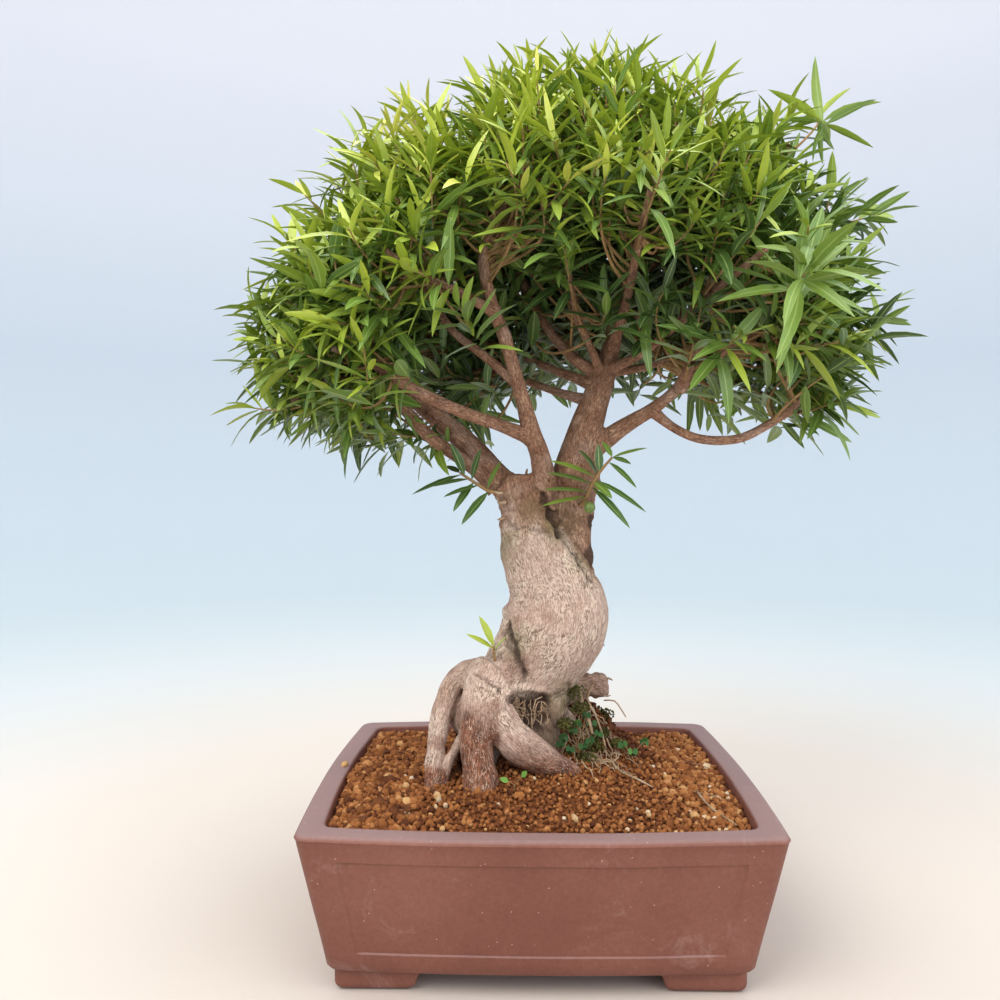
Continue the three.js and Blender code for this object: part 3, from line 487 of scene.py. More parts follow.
rng = np.random.default_rng(11)
GRAIN_STEP, GRAIN_RADII, BIG_GRAIN, CLOD_RADII = 4.5, (1.7, 3.0), 1.6, (1.8, 4.2)
PUMICE_TONE, BED_TONE = 0.97, 0.2
columns = np.arange(-192, 192, GRAIN_STEP)
rows = np.arange(-160, 160, GRAIN_STEP)
spots = np.stack(np.meshgrid(columns, rows), axis=-1).reshape(-1, 2)
spots = spots + rng.uniform(-0.5, 0.5, spots.shape) * GRAIN_STEP
inner_half = POT_HALF - inner_inset(SOIL_AT_WALL) - 3
bowed = inner_half + POT_BOWS * (1 - (spots[:, ::-1] / inner_half[::-1]) ** 2)
spots = spots[(np.abs(spots) < bowed).all(axis=1)]
left_side, right_side = ramp(-spots[:, 0], 40, 150), ramp(spots[:, 0], 90, 160)
mound = mound_share(spots)
coarse_side = np.maximum(left_side, 0.8 * right_side)
size = rng.uniform(*GRAIN_RADII, len(spots)) * (1 + 0.8 * coarse_side * rng.random(len(spots)))
size *= np.where(rng.random(len(spots)) < 0.03 + 0.08 * coarse_side, BIG_GRAIN, 1)
level = soil_surface(spots) + rng.uniform(-0.9, 1.4, len(spots))
ochre = bell(spots, (32, -62), (30, 16))
tone = rng.normal(0.35 + 0.03 * left_side + 0.13 * right_side + 0.18 * ochre, 0.17)
is_pumice = rng.random(len(spots)) < 0.006 + 0.02 * right_side
tone = np.where(is_pumice, PUMICE_TONE, np.clip(tone, 0, 0.88))
tone = np.where(mound > 0.15, rng.normal(0.1, 0.12, len(spots)).clip(0, 0.6), tone)
grain_parts = [lumps(rng, np.column_stack([spots, level]), size)]

# Dark earth packed between the roots, its clods kept near black as painted shade for the hollows there, as
# the middle, half sizes and number of clods of each nest
for middle, half, count in (((-62, -4, 172), (19, 22, 42), 420), ((-20, -45, 160), (20, 6, 16), 150),
                            ((-66, -20, 150), (16, 18, 12), 120), ((-71, -2, 208), (12, 13, 28), 260)):
    inside = unit_ball(rng, count) * half + middle
    grain_parts.append(lumps(rng, inside, rng.uniform(*CLOD_RADII, count)))
    tone = np.concatenate([tone, rng.uniform(0, 0.16, count)])

# Single stones on the soil and the left rim, as x, y, radius and tone
STONES = np.array([
    (-195.5, 6, 4.4, 0.84), (-92, -92, 4.6, 0.92), (-148, -30, 4.2, 0.85), (-125, -61, 4.0, 0.88),
    (30, -136, 4.6, 0.88), (128, -20, 3.8, 0.84), (-150, 92, 4.2, 0.84), (96, -118, 3.4, 0.9)])
stone_level = np.where(STONES[:, 0] < -190, POT_TOP, soil_surface(STONES[:, :2])) + 0.5 * STONES[:, 2]
grain_parts.append(lumps(rng, np.column_stack([STONES[:, :2], stone_level]), STONES[:, 2]))
tone = np.concatenate([tone, STONES[:, 3]])
grains = mesh_object("soil_grains", *joined(grain_parts), sharp=55)
point_values(grains, "tone", np.repeat(tone, len(lump)))
bed_places = np.concatenate([ring.reshape(-1, 3) for ring in bed_rings])
bed_tone = BED_TONE - 0.17 * ramp(mound_share(bed_places[:, :2]), 0.1, 0.3)
bed_tone = np.append(bed_tone, (BED_TONE, BED_TONE))
point_values(soil_bed, "tone", bed_tone)

baked, shader, nodes = new_material("baked_clay_grains", 0.9, 0.2)
clouds = mottle(nodes, 90.0, 1500.0)
cloud_tone = math(nodes, "MULTIPLY", math(nodes, "ADD", clouds["Cloud"], -0.5), 0.5)
earth_tone = math(nodes, "ADD", cloud_tone, node(nodes, "Attribute", attribute_name="tone")["Fac"])
earth = colour_ramp(nodes, earth_tone, [
    (0.0, (0.075, 0.022, 0.008)), (0.3, (0.19, 0.062, 0.018)), (0.5, (0.3, 0.108, 0.03)),
    (0.72, (0.43, 0.19, 0.065)), (0.9, (0.56, 0.33, 0.14)), (1.0, (0.62, 0.52, 0.38))])
fill(shader, {"Base Color": earth})
add_bump(nodes, shader, clouds["Height"], 0.5, 0.0006)
for piece in (soil_bed, grains):
    piece.data.materials.append(baked)
    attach(piece, "root")
    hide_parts("soil")

# Wood
# The tree grew as one piece: surface roots and a swollen trunk of pale ridged bark, the neck with
# the cut top, and brown limbs. Rows are x, y, z and radius along each centre line. The thick wood
# is melted into one skin and then ridged along its grain; thin branches start inside it.
TRUNK = [[-24, 0, 128, 50], [-23, 0, 180, 46], [-19, 0, 222, 43], [-9, 0, 243, 44], [3, 0, 261, 47],
         [13.5, 0, 279, 52], [19, 0, 297, 53], [19.5, 0, 314, 50], [15, 0, 332, 44], [7, 0, 350, 39],
         [0, 1, 368, 35.5], [-6, 2, 386, 30], [-11, 2, 406, 25], [-13, 2, 424, 23.5], [-13, 2, 440, 22]]
ROOTS = [
    [[-40, 14, 236, 16], [-59, 14, 238, 13], [-72, 2, 238, 12], [-84, -12, 229, 11], [-92, -30, 207, 10],
     [-97, -47, 177, 8.5], [-99, -59, 150, 7], [-100, -65, 128, 7]],
    [[-40, -12, 238, 29], [-48, -30, 224, 26], [-56, -48, 204, 18], [-58, -62, 180, 15],
     [-54, -70, 154, 16.5], [-53, -73, 128, 18]],
    [[-45, -40, 214, 23], [-32, -50, 196, 18], [-15, -52, 179, 18], [4, -46, 165, 16], [24, -36, 152, 13],
     [46, -24, 134, 11]],
    [[2, 4, 240, 34], [6, -2, 214, 26], [5, -6, 198, 21], [1, -8, 178, 17], [0, -6, 128, 15]],
    [[20, 16, 214, 18], [46, 26, 219, 13], [62, 30, 219, 12], [73, 32, 219, 10]],
    [[-60, -18, 194, 7], [-78, -42, 174, 5.5], [-86, -58, 158, 5], [-89, -66, 128, 5]],
    [[-62, -4, 214, 9], [-73, -16, 207, 11], [-75, -20, 196, 11], [-68, -18, 184, 8]],
    [[24, 20, 196, 9], [40, 22, 178, 8], [58, 18, 160, 6], [74, 10, 136, 5]],
    [[-20, 30, 214, 24], [-30, 52, 184, 17], [-44, 70, 156, 14], [-58, 84, 126, 12]],
    [[8, 30, 208, 22], [22, 54, 180, 16], [34, 74, 154, 13], [44, 88, 126, 11]],
]
SPRAYS = {
    "left_low": (-244, -14, 512), "left_outer": (-246, 2, 604), "left_upper": (-200, 0, 700),
    "upper_left": (-108, 8, 776), "crown_top": (24, 0, 808), "top_right": (146, 8, 803),
    "right_upper": (252, 0, 768), "right_outer": (306, 8, 684), "right_middle": (302, -14, 592),
    "right_low": (262, -18, 520), "front_left": (-134, -124, 632), "front_top": (-10, -128, 706),
    "front_centre": (88, -166, 670), "front_right": (190, -138, 628), "front_low_right": (144, -100, 558),
    "front_low_left": (-186, -98, 552), "inner_top": (30, -38, 636), "back_left": (-196, 138, 607),
    "back_upper_left": (-78, 156, 730), "back_centre": (80, 180, 750), "back_right": (236, 150, 720),
    "back_low_left": (-94, 132, 558), "back_low_right": (182, 116, 586), "back_middle": (26, 182, 632),
}
LIMBS = {
    "crown_top": [[30, 6, 310, 20], [43, 12, 335, 16], [39, 11, 366, 19], [35, 10, 403, 22],
                  [41, 10, 440, 24], [49, 10, 480, 18], [58, 12, 508, 15], [67, 14, 534, 13],
                  [75, 17, 560, 10], [88, 25, 621, 8], [105, 30, 659, 7.5], [99, 26, 702, 6],
                  [68, 15, 752, 5]],
    "left_outer": [[-14, 4, 412, 20], [-40, 8, 436, 15], [-62, 12, 463, 12], [-88, 14, 487, 11],
                   [-124, 16, 518, 9], [-156, 20, 558, 7], [-192, 20, 596, 6]],
    "front_top": [[10, -6, 404, 14], [8, -12, 434, 12], [3, -18, 459, 10], [-6, -24, 483, 9],
                  [-14, -30, 512, 7.5], [-32, -46, 572, 6.5], [-43, -56, 599, 6], [-49, -76, 648, 5]],
    "left_low": [[-40, 8, 430, 10], [-74, 2, 454, 7], [-106, -10, 477, 6.5], [-128, -15, 501, 6],
                 [-150, -20, 521, 5], [-184, -20, 533, 4.5], [-215, -16, 530, 4]],
    "front_low_left": [[-6, -22, 476, 7], [-39, -34, 488, 6], [-67, -44, 497, 6], [-94, -54, 508, 6],
                       [-122, -60, 522, 5.5], [-149, -66, 540, 5]],
    "left_upper": [[-16, -34, 524, 5], [-48, -30, 552, 4.5], [-78, -20, 576, 4], [-96, -10, 599, 4],
                   [-137, 8, 655, 3.6]],
    "front_left": [[-40, -54, 592, 5], [-76, -84, 606, 4.2], [-106, -104, 616, 3.8]],
    "right_middle": [[52, 8, 462, 12], [87, 0, 487, 8.5], [119, -12, 507, 6.5], [150, -22, 534, 5],
                     [171, -28, 549, 4.5], [206, -32, 574, 4.2]],
    "right_low": [[112, -10, 505, 5], [135, -14, 486, 4.5], [159, -16, 475, 4.5], [186, -18, 473, 4.5],
                  [210, -20, 479, 4.3], [247, -20, 502, 4]],
    "front_low_right": [[140, -20, 524, 5], [144, -58, 544, 4]],
    "back_low_left": [[56, 12, 514, 6], [28, 30, 524, 4.5], [-5, 60, 539, 4], [-38, 85, 554, 3.8]],
    "back_left": [[60, 12, 530, 6], [22, 40, 549, 4.2], [-8, 70, 566, 4], [-44, 105, 587, 3.8],
                  [-120, 122, 602, 3.6]],
    "back_upper_left": [[66, 14, 540, 7], [35, 20, 563, 5.5], [6, 40, 604, 5], [-21, 70, 663, 4.4],
                        [-48, 110, 697, 4]],
    "back_middle": [[72, 14, 550, 5.5], [62, 60, 574, 4.6], [44, 122, 604, 4.2]],
    "inner_top": [[68, 14, 538, 6], [57, -2, 561, 4], [40, -20, 594, 3.8]],
    "back_low_right": [[66, 12, 542, 5], [109, 25, 550, 4.2], [143, 45, 564, 4]],
    "front_right": [[70, 14, 545, 6], [105, -8, 560, 4.4], [138, -35, 587, 4], [160, -80, 606, 3.8]],
    "upper_left": [[-21, 70, 662, 4.4], [-60, 38, 722, 4]],
    "top_right": [[98, 28, 642, 7], [120, 22, 705, 6], [138, 15, 756, 4.4]],
    "right_upper": [[96, 27, 640, 6.5], [150, 20, 680, 5.2], [205, 10, 722, 4.4]],
    "right_outer": [[82, 22, 594, 6.5], [150, 20, 628, 5.2], [220, 16, 652, 4.6]],
    "front_centre": [[77, 18, 566, 6], [84, -30, 598, 4.8], [86, -90, 630, 4.2]],
    "back_centre": [[102, 30, 652, 6.5], [98, 80, 690, 5], [88, 130, 722, 4.2]],
    "back_right": [[104, 30, 658, 6], [150, 70, 682, 5], [195, 110, 704, 4.2]],
}
THICK_LIMBS = ("crown_top", "left_outer", "front_top", "right_middle")
TIP_RADIUS, SPAN_SAMPLES = 2.6, 8
TRUNK_POINTS, THICK_POINTS, THIN_POINTS = 64, 32, 14
SKIN_VOXEL = 0.0018


def smooth_path(rows, per_span):
    """Catmull-Rom curve through rows of numbers: between two rows it is the cubic whose slope at
    each of them is half the difference of the rows on either side."""
    rows = np.asarray(rows, float)
    padded = np.vstack([2 * rows[0] - rows[1], rows, 2 * rows[-1] - rows[-2]])
    a, b, c, d = (padded[k:len(rows) - 1 + k, None] for k in range(4))
    t = np.linspace(0, 1, per_span, endpoint=False)[None, :, None]
    spans = b + t / 2 * (c - a + t * (2 * a - 5 * b + 4 * c - d + t * (3 * (b - c) + d - a)))
    return np.vstack([spans.reshape(-1, rows.shape[1]), rows[-1]])


def path_axes(path):
    """Unit vectors at each place of a path: along it, and two across it. The first of those is
    the fixed axis that the path follows least, made square to it, so the section isn't twisted."""
    along = unit(np.gradient(path[:, :3], axis=0))
    fixed = np.eye(3)[np.abs(along).max(axis=0).argmin()]
    side = unit(fixed - along * (along @ fixed)[:, None])
    return along, side, np.cross(along, side)


def tube(path, around, squeeze=(1, 1, 1), lobes=0.0):
    """Rings round a path of rows x, y, z, radius. The radius swells by lobes times the sine of
    three times the angle, which turns along the path, and the section is squeezed by axis."""
    _, side, across = path_axes(path)
    angle = full_turn(around)[None, :, None]
    turned = 3 * angle + 4 * np.linspace(0, 1, len(path))[:, None, None]
    reach = path[:, None, 3:4] * (1 + lobes * np.sin(turned))
    ring = side[:, None] * np.cos(angle) + across[:, None] * np.sin(angle)
    return path[:, None, :3] + reach * ring * squeeze


limb_paths = {name: smooth_path(rows + [[*SPRAYS[name], TIP_RADIUS]], SPAN_SAMPLES)
              for name, rows in LIMBS.items()}
trunk_path = smooth_path(TRUNK, SPAN_SAMPLES)
root_paths = [smooth_path(rows, SPAN_SAMPLES) for rows in ROOTS]
thick_paths = [limb_paths[name] for name in THICK_LIMBS]
thick = [loft(tube(trunk_path, TRUNK_POINTS, squeeze=(1, 0.86, 1), lobes=0.05))]
thick += [loft(tube(path, THICK_POINTS)) for path in root_paths + thick_paths]
tree = mesh_object("trunk_and_roots", *joined(thick))
skin = tree.modifiers.new("skin", "REMESH")
skin.mode, skin.voxel_size, skin.use_smooth_shade = "VOXEL", SKIN_VOXEL, True
relax = tree.modifiers.new("relax", "SMOOTH")
relax.factor, relax.iterations = 0.5, 4
apply_modifiers(tree)


def run_of(places):
    """Distance along a path at each of its places, from 0 at the first."""
    return np.concatenate([[0], np.cumsum(np.linalg.norm(np.diff(places, axis=0), axis=1))])


def read_rows(items, key):
    """Rows of three numbers from a mesh's list of items."""
    values = np.zeros(len(items) * 3, np.float32)
    items.foreach_get(key, values)
    return values.reshape(-1, 3).astype(float)


def grain_of(points, paths):
    """Place of each point in the grain of the wood that it lies on: its two offsets across the
    nearest centre line and its distance along it. Nearest counts from the bark, not the middle."""
    rows = [(path[:, :3], path[:, 3], *path_axes(path), run_of(path[:, :3])) for path in paths]
    middles, radii, alongs, sides, crosses, runs = map(np.concatenate, zip(*rows))
    grain = np.empty_like(points)
    for chunk in np.array_split(np.arange(len(points)), max(1, len(points) // 4000)):
        gap = np.linalg.norm(points[chunk, None] - middles[None], axis=2) - radii
        near = gap.argmin(axis=1)
        offset = points[chunk] - middles[near]
        for column, axes in enumerate((sides, crosses, alongs)):
            grain[chunk, column] = (offset * axes[near]).sum(axis=1)
        grain[chunk, 2] += runs[near]
    return grain


# Folds and ridges of the trunk's front, as x and z along each, its depth and its half width
FOLDS = [
    ([(6, 419), (9, 409), (14, 400), (19, 391), (23, 380)], 8.0, 3.4),
    ([(23, 380), (30, 370), (38, 360), (45, 348), (50, 339), (54, 334)], 3.4, 1.8),
    ([(18, 381), (26, 368), (33, 356), (41, 345), (47, 336)], -2.2, 3.4),
    ([(-31, 390), (-20, 386), (-12, 388), (-2, 384), (8, 386), (14, 382)], 2.6, 1.8),
    ([(-30, 404), (-20, 402), (-10, 397)], 1.8, 1.6),
    ([(-26, 412), (-12, 416), (2, 412)], 1.8, 1.6),
    ([(-27, 319), (-12, 317), (1, 318)], 1.4, 1.2),
    ([(-29, 316), (-31, 300), (-28, 286)], 1.8, 2.0),
    ([(-29, 290), (-25, 280), (-20, 268), (-16, 256), (-13, 246)], 4.2, 2.6),
    ([(-33, 283), (-30, 274), (-25, 268), (-20, 264)], 3.0, 2.4),
    ([(-27, 282), (-22, 276), (-16, 279)], 2.2, 2.6),
    ([(-13, 246), (-12, 240), (-15, 232)], 2.8, 3.2),
    ([(-36, 268), (-30, 256), (-25, 242)], -2.6, 4.0),
    ([(-34, 226), (-18, 232), (-4, 230), (8, 226), (13, 216)], -2.4, 3.4),
    ([(-62, 247), (-50, 243), (-40, 236), (-32, 228), (-26, 220)], 3.0, 1.4),
    ([(-24, 224), (-11, 226), (2, 222), (14, 220), (26, 225)], 2.4, 2.6),
    ([(31, 231), (33, 222), (36, 212)], 2.4, 2.6),
    ([(-38, 232), (-36, 214), (-30, 198)], 1.5, 1.6),
    ([(44, 356), (39, 347), (36, 338)], 1.6, 1.2),
    ([(50, 340), (46, 330), (45, 322)], 1.8, 1.2),
    ([(-40, 356), (-34, 352), (-30, 345)], 1.2, 1.4),
    ([(-68, 214), (-61, 200), (-58, 186)], 1.6, 1.4),
]
KNOT_HOLE = (25, 283)


def fold_depths(points):
    """Depth of the folds at each point of the front, below zero on a ridge: the sum of each
    line's depth times the bell curve of the distance from it over its ragged half width."""
    depth = np.zeros(len(points))
    ragged = 1 + 0.6 * soft_noise(points, 5, 15)
    wander = np.column_stack([soft_noise(points, 5, 17), soft_noise(points, 6, 18)])
    flat = points[:, [0, 2]] + 1.7 * wander
    for line, deepest, width in FOLDS:
        bends = smooth_path(line, 6)
        gap = np.full(len(points), 1e3)
        for start, end in zip(bends[:-1], bends[1:]):
            leg = end - start
            share = np.clip(((flat - start) @ leg) / (leg @ leg), 0, 1)[:, None]
            gap = np.minimum(gap, np.linalg.norm(flat - start - share * leg, axis=1))
        depth += deepest * np.exp(-((gap / (width * ragged)) ** 2))
    return ramp(-points[:, 1], -6, 8) * (depth + 4 * bell(points[:, [0, 2]], KNOT_HOLE, 1.6))


def hollow_share(points):
    """How far each point lies in the hollow of the trunk's foot, above the slanting root."""
    x, y, z = (points + 3 * soft_noise(points, 9, 16)[:, None]).T
    across = ramp(-np.abs(x + 7), -24, -13)
    return across * ramp(-np.abs(z - 203), -26, -12) * ramp(-y, 5, 20) * ramp(y, -47, -42)


def leader_share(x, z):
    """How surely a place is on the leader: right of the slanting line where it leaves the trunk."""
    return ramp(x - 0.62 * (420 - z), 0, 8) * ramp(z, 318, 345)


bark_points = (read_rows(tree.data.vertices, "co") - HOME) / MM
bark_normals = read_rows(tree.data.vertex_normals, "vector")
bark_x, bark_y, bark_z = bark_points.T
# The first span of a root or limb lies inside the trunk, so the trunk gives the grain there
thick_lines = [trunk_path] + [path[SPAN_SAMPLES:] for path in root_paths + thick_paths]
grain = grain_of(bark_points, thick_lines)
# How strong the relief is at each point: full below the limbs, knobby on the neck, the leader
# and the cut root, and ridged along the grain near the soil
stretched = grain * (1, 1, 0.3)
swell = ramp(-bark_z, -470, -400)
neck = ramp(bark_z, 374, 390) * ramp(-bark_z, -446, -428)
low = ramp(-bark_z, -246, -206)
ridges = 0.5 * soft_noise(stretched, 3.6, 5) + 0.3 * soft_noise(stretched, 2.2, 6)
ridges += 0.8 * low * soft_noise(grain * (1, 1, 0.1), 4.5, 19)
lumpy = 1.5 * soft_noise(bark_points, 26, 7) + 0.7 * soft_noise(bark_points, 11, 8)
stump = ramp(bark_x, 38, 50) * ramp(-bark_z, -240, -232) * ramp(bark_y, 8, 16)
leader = leader_share(bark_x, bark_z) * ramp(-bark_z, -420, -396)
knobby = (2.4 * neck + 3.2 * stump + 1.2 * leader) * soft_noise(bark_points, 8, 10)
knobby += (1.4 * neck + 1.6 * stump + 1.2 * leader) * soft_noise(bark_points, 4.5, 13)
folds = fold_depths(bark_points)
hollow = hollow_share(bark_points)
relief = ridges * (0.5 + 0.5 * swell) + lumpy * (0.15 + 0.85 * swell) + knobby - folds - 8 * hollow
bark_points = bark_points + bark_normals * relief[:, None]
tree.data.vertices.foreach_set("co", (bark_points * MM + HOME).astype(np.float32).ravel())
tree.data.update()

# Thin branches swell where they start and wander a little in thickness
branch_parts, branch_grain = [], []
for name in (name for name in LIMBS if name not in THICK_LIMBS):
    path = limb_paths[name].copy()
    path[:, 3] *= 1 + 0.5 * np.exp(-run_of(path[:, :3]) / 9) + 0.06 * soft_noise(path[:, :3], 12, 9)
    part = loft(tube(path, THIN_POINTS))
    branch_parts.append(part)
    branch_grain.append(grain_of(part[0], [path]))
branches = mesh_object("thin_branches", *joined(branch_parts))
branch_grain = np.concatenate(branch_grain)

# Mossy, greenish spots of the bark, as middle, radius and strength
OLIVE_SPOTS = [((-36, -12, 366), 17, 0.7), ((24, -24, 386), 20, 0.6), ((-24, -34, 276), 13, 0.9),
               ((30, -16, 212), 26, 0.7), ((-6, -22, 402), 16, 0.3), ((-30, -36, 296), 8, 0.7),
               ((12, -22, 186), 18, 0.35), ((-12, -44, 240), 9, 0.5), ((44, -20, 350), 14, 0.5)]
# Healed cuts on the right of the neck, as middle and radius
SCARS = [((57, 2, 391), 9), ((59, 4, 357), 15)]


def wood_values(piece, points, grain, painted_shade_and_scars):
    """Stores where the grain runs, the painted shade of the folds and the hollow with the dark of the healed
    cuts, and how brown, rusty and mossy it is.
    """
    x, y, z = points.T
    ragged = soft_noise(points, 13, 3)
    # Brown on the neck, the leader and the roots' ends
    neck = (0.74 + 0.3 * ragged) * ramp(z + 6 * ragged, 376, 394) + 0.34 * ramp(z, 420, 445)
    column = 0.85 * leader_share(x, z)
    foot = 0.6 * ramp(-z, -162, -144)
    brown = np.clip(np.maximum(np.maximum(neck, column), foot) + 0.2 * ragged, 0, 1)
    # Rusty on the front root, the cut root, near the soil and in patches of single roots
    front_root = ramp(-np.abs(x + 55), -23, -16) * ramp(-y, 46, 58)
    stump = 0.55 * ramp(x, 34, 44) * ramp(-z, -244, -236) * ramp(y, 6, 14)
    near_soil = 0.5 * ramp(-z + 8 * ragged, -180, -148)
    leg = 0.6 * ramp(-np.abs(x - 6), -30, -20) * ramp(-z, -228, -206) * ramp(y, -38, -28)
    slanting = 0.65 * ramp(x, -38, -24) * ramp(-y, 18, 28) * ramp(-z + 12 * ragged, -208, -168)
    arched = 0.5 * ramp(-x, 76, 84) * ramp(ragged, -0.1, 0.5)
    knot = 0.9 * bell(points, (-76, -20, 200), 15)
    inner_bend = 0.7 * bell(points, (-19, -40, 256), 13)
    spots = np.maximum.reduce([leg, slanting, arched, knot, inner_bend])
    rust = np.clip(front_root * ramp(-z + 8 * ragged, -236, -196) + near_soil + stump + spots, 0, 1)
    olive = np.zeros(len(points))
    for middle, radius, strength in OLIVE_SPOTS:
        olive = np.maximum(olive, strength * bell(points, middle, radius) * (1 + 0.6 * ragged))
    # The healed cuts are darkened in the same mask as the painted shade
    for middle, radius in SCARS:
        gap = np.linalg.norm(points - middle, axis=1) / radius
        painted_shade_and_scars = np.maximum(painted_shade_and_scars, 0.8 * ramp(-gap, -1, -0.8))
    point_values(piece, "grain", grain * MM)
    point_values(piece, "stains", np.column_stack([brown, rust, olive]))
    point_values(piece, "painted_shade_and_scars", painted_shade_and_scars)


# The painted shade of the hollow also reaches a little to its lower right
hollow = np.maximum(hollow, 0.55 * hollow_share(bark_points + (-16, 0, 22)))
# Painted shade: the deeper folds and the hollow of the trunk's foot are darkened
wood_values(tree, bark_points, grain, np.maximum(0.8 * ramp(folds, 0.6, 4.2), 0.95 * hollow))
wood_values(branches, np.concatenate([part[0] for part in branch_parts]), branch_grain,
            np.zeros(len(branch_grain)))


def thin_lines(nodes, field, level, width, strength):
    """Mask of the thin wandering lines along which a noise crosses a level."""
    gap = math(nodes, "ABSOLUTE", math(nodes, "SUBTRACT", field, level))
    return map_range(nodes, gap, from_max=width, to_min=strength, to_max=0.0)


bark, shader, nodes = new_material("bark", 0.8, 0.3)
grain_in = node(nodes, "Attribute", attribute_name="grain")["Vector"]
stains = node(nodes, "SeparateXYZ", {"Vector": node(nodes, "Attribute", attribute_name="stains")["Vector"]})
painted_shade_and_scars_in = node(nodes, "Attribute", attribute_name="painted_shade_and_scars")["Fac"]
along_grain = node(nodes, "Mapping", {"Vector": grain_in, "Scale": (1, 1, 0.3)})["Vector"]
scales = noise(nodes, along_grain, 400.0, 1.8, 0.5, 0.8)
fibres = noise(nodes, along_grain, 900.0, 3.0, 0.65)
threads = noise(nodes, along_grain, 300.0, 1.5, 0.5, 1.0)
patches = noise(nodes, grain_in, 42.0, 4.0, 0.65)
crack_share = map_range(nodes, patches, from_min=0.4, from_max=0.6, to_min=0.2, to_max=0.95)
crack_mask = math(nodes, "MULTIPLY", thin_lines(nodes, scales, 0.5, 0.05, 1.0), crack_share)
thread_mask = math(nodes, "MULTIPLY", thin_lines(nodes, threads, 0.47, 0.026, 0.7), stains["Y"])
tone = node(nodes, "Mix", {"Factor": 0.5, "A": fibres, "B": patches}, data_type="FLOAT")["Result"]
pale_bark = colour_ramp(nodes, tone, [(0.36, (0.27, 0.155, 0.105)), (0.45, (0.48, 0.32, 0.25)),
                                      (0.53, (0.61, 0.45, 0.355)), (0.63, (0.66, 0.53, 0.4))])
brown_bark = colour_ramp(nodes, tone, [(0.36, (0.085, 0.034, 0.018)), (0.45, (0.21, 0.098, 0.055)),
                                       (0.54, (0.36, 0.185, 0.11)), (0.64, (0.52, 0.32, 0.2))])
rusty_bark = colour_ramp(nodes, tone, [(0.38, (0.032, 0.01, 0.006)), (0.46, (0.125, 0.043, 0.021)),
                                       (0.54, (0.26, 0.1, 0.052)), (0.64, (0.52, 0.3, 0.2))])
colour = pale_bark
# The last layer is painted shade, near black in the folds and the hollow, and it also darkens the healed cuts
for above, mask in ((brown_bark, stains["X"]), (rusty_bark, stains["Y"]),
                    ((0.2, 0.17, 0.075, 1), stains["Z"]), ((0.15, 0.075, 0.042, 1), crack_mask),
                    ((0.66, 0.5, 0.4, 1), thread_mask), ((0.045, 0.024, 0.014, 1), painted_shade_and_scars_in)):
    colour = layer(nodes, colour, above, mask)
fill(shader, {"Base Color": colour})
add_bump(nodes, shader, math(nodes, "SUBTRACT", tone, crack_mask), 0.8, 0.0012)
for piece in (tree, branches):
    piece.data.materials.clear()
    piece.data.materials.append(bark)
    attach(piece, "root")
    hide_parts("tree")

# Rootlets
# Thin pale roots that wander over the mound, hang in the hollow of the trunk's foot and lie on the
# soil, with dry twigs that fell there and the stubs of cut shoots. All but the twigs grow from the
# thick wood.
rng = np.random.default_rng(7)
WANDERERS, WANDER_STEPS = 60, 12
start = rng.uniform((22, -14), (74, 36), (WANDERERS, 2))
first_turn = np.radians(rng.uniform(-110, 20, (WANDERERS, 1)))
turn = first_turn + rng.normal(0, 0.4, (WANDERERS, WANDER_STEPS)).cumsum(axis=1)
ways = start[:, None] + rng.uniform(2, 4, (WANDERERS, 1, 1)) * np.stack(
    [np.cos(turn), np.sin(turn)], axis=-1).cumsum(axis=1)
above_soil = rng.uniform(0.5, 4, turn.shape)
lie = soil_surface(ways.reshape(-1, 2)).reshape(turn.shape) + above_soil
lie[:, [0, -1]] -= 6
thin = rng.uniform(0.45, 1.3, (WANDERERS, 1)) * np.linspace(1, 0.4, WANDER_STEPS)
root_rows = list(np.concatenate([ways, lie[..., None], thin[..., None]], axis=2))
HANGERS, HANG_STEPS = 22, 6
share = np.linspace(0, 1, HANG_STEPS)[None, :, None]
high_end = rng.uniform((-24, -38, 212), (10, -34, 224), (HANGERS, 3))
low_end = high_end + rng.uniform((-10, -12, -30), (10, -2, -8), (HANGERS, 3))
hanging = high_end[:, None] * (1 - share) + low_end[:, None] * share
hanging = hanging + rng.normal(0, 2.6, hanging.shape)
thin = np.repeat(rng.uniform(0.25, 0.6, (HANGERS, 1, 1)), HANG_STEPS, axis=1)
root_rows += list(np.concatenate([hanging, thin], axis=2))
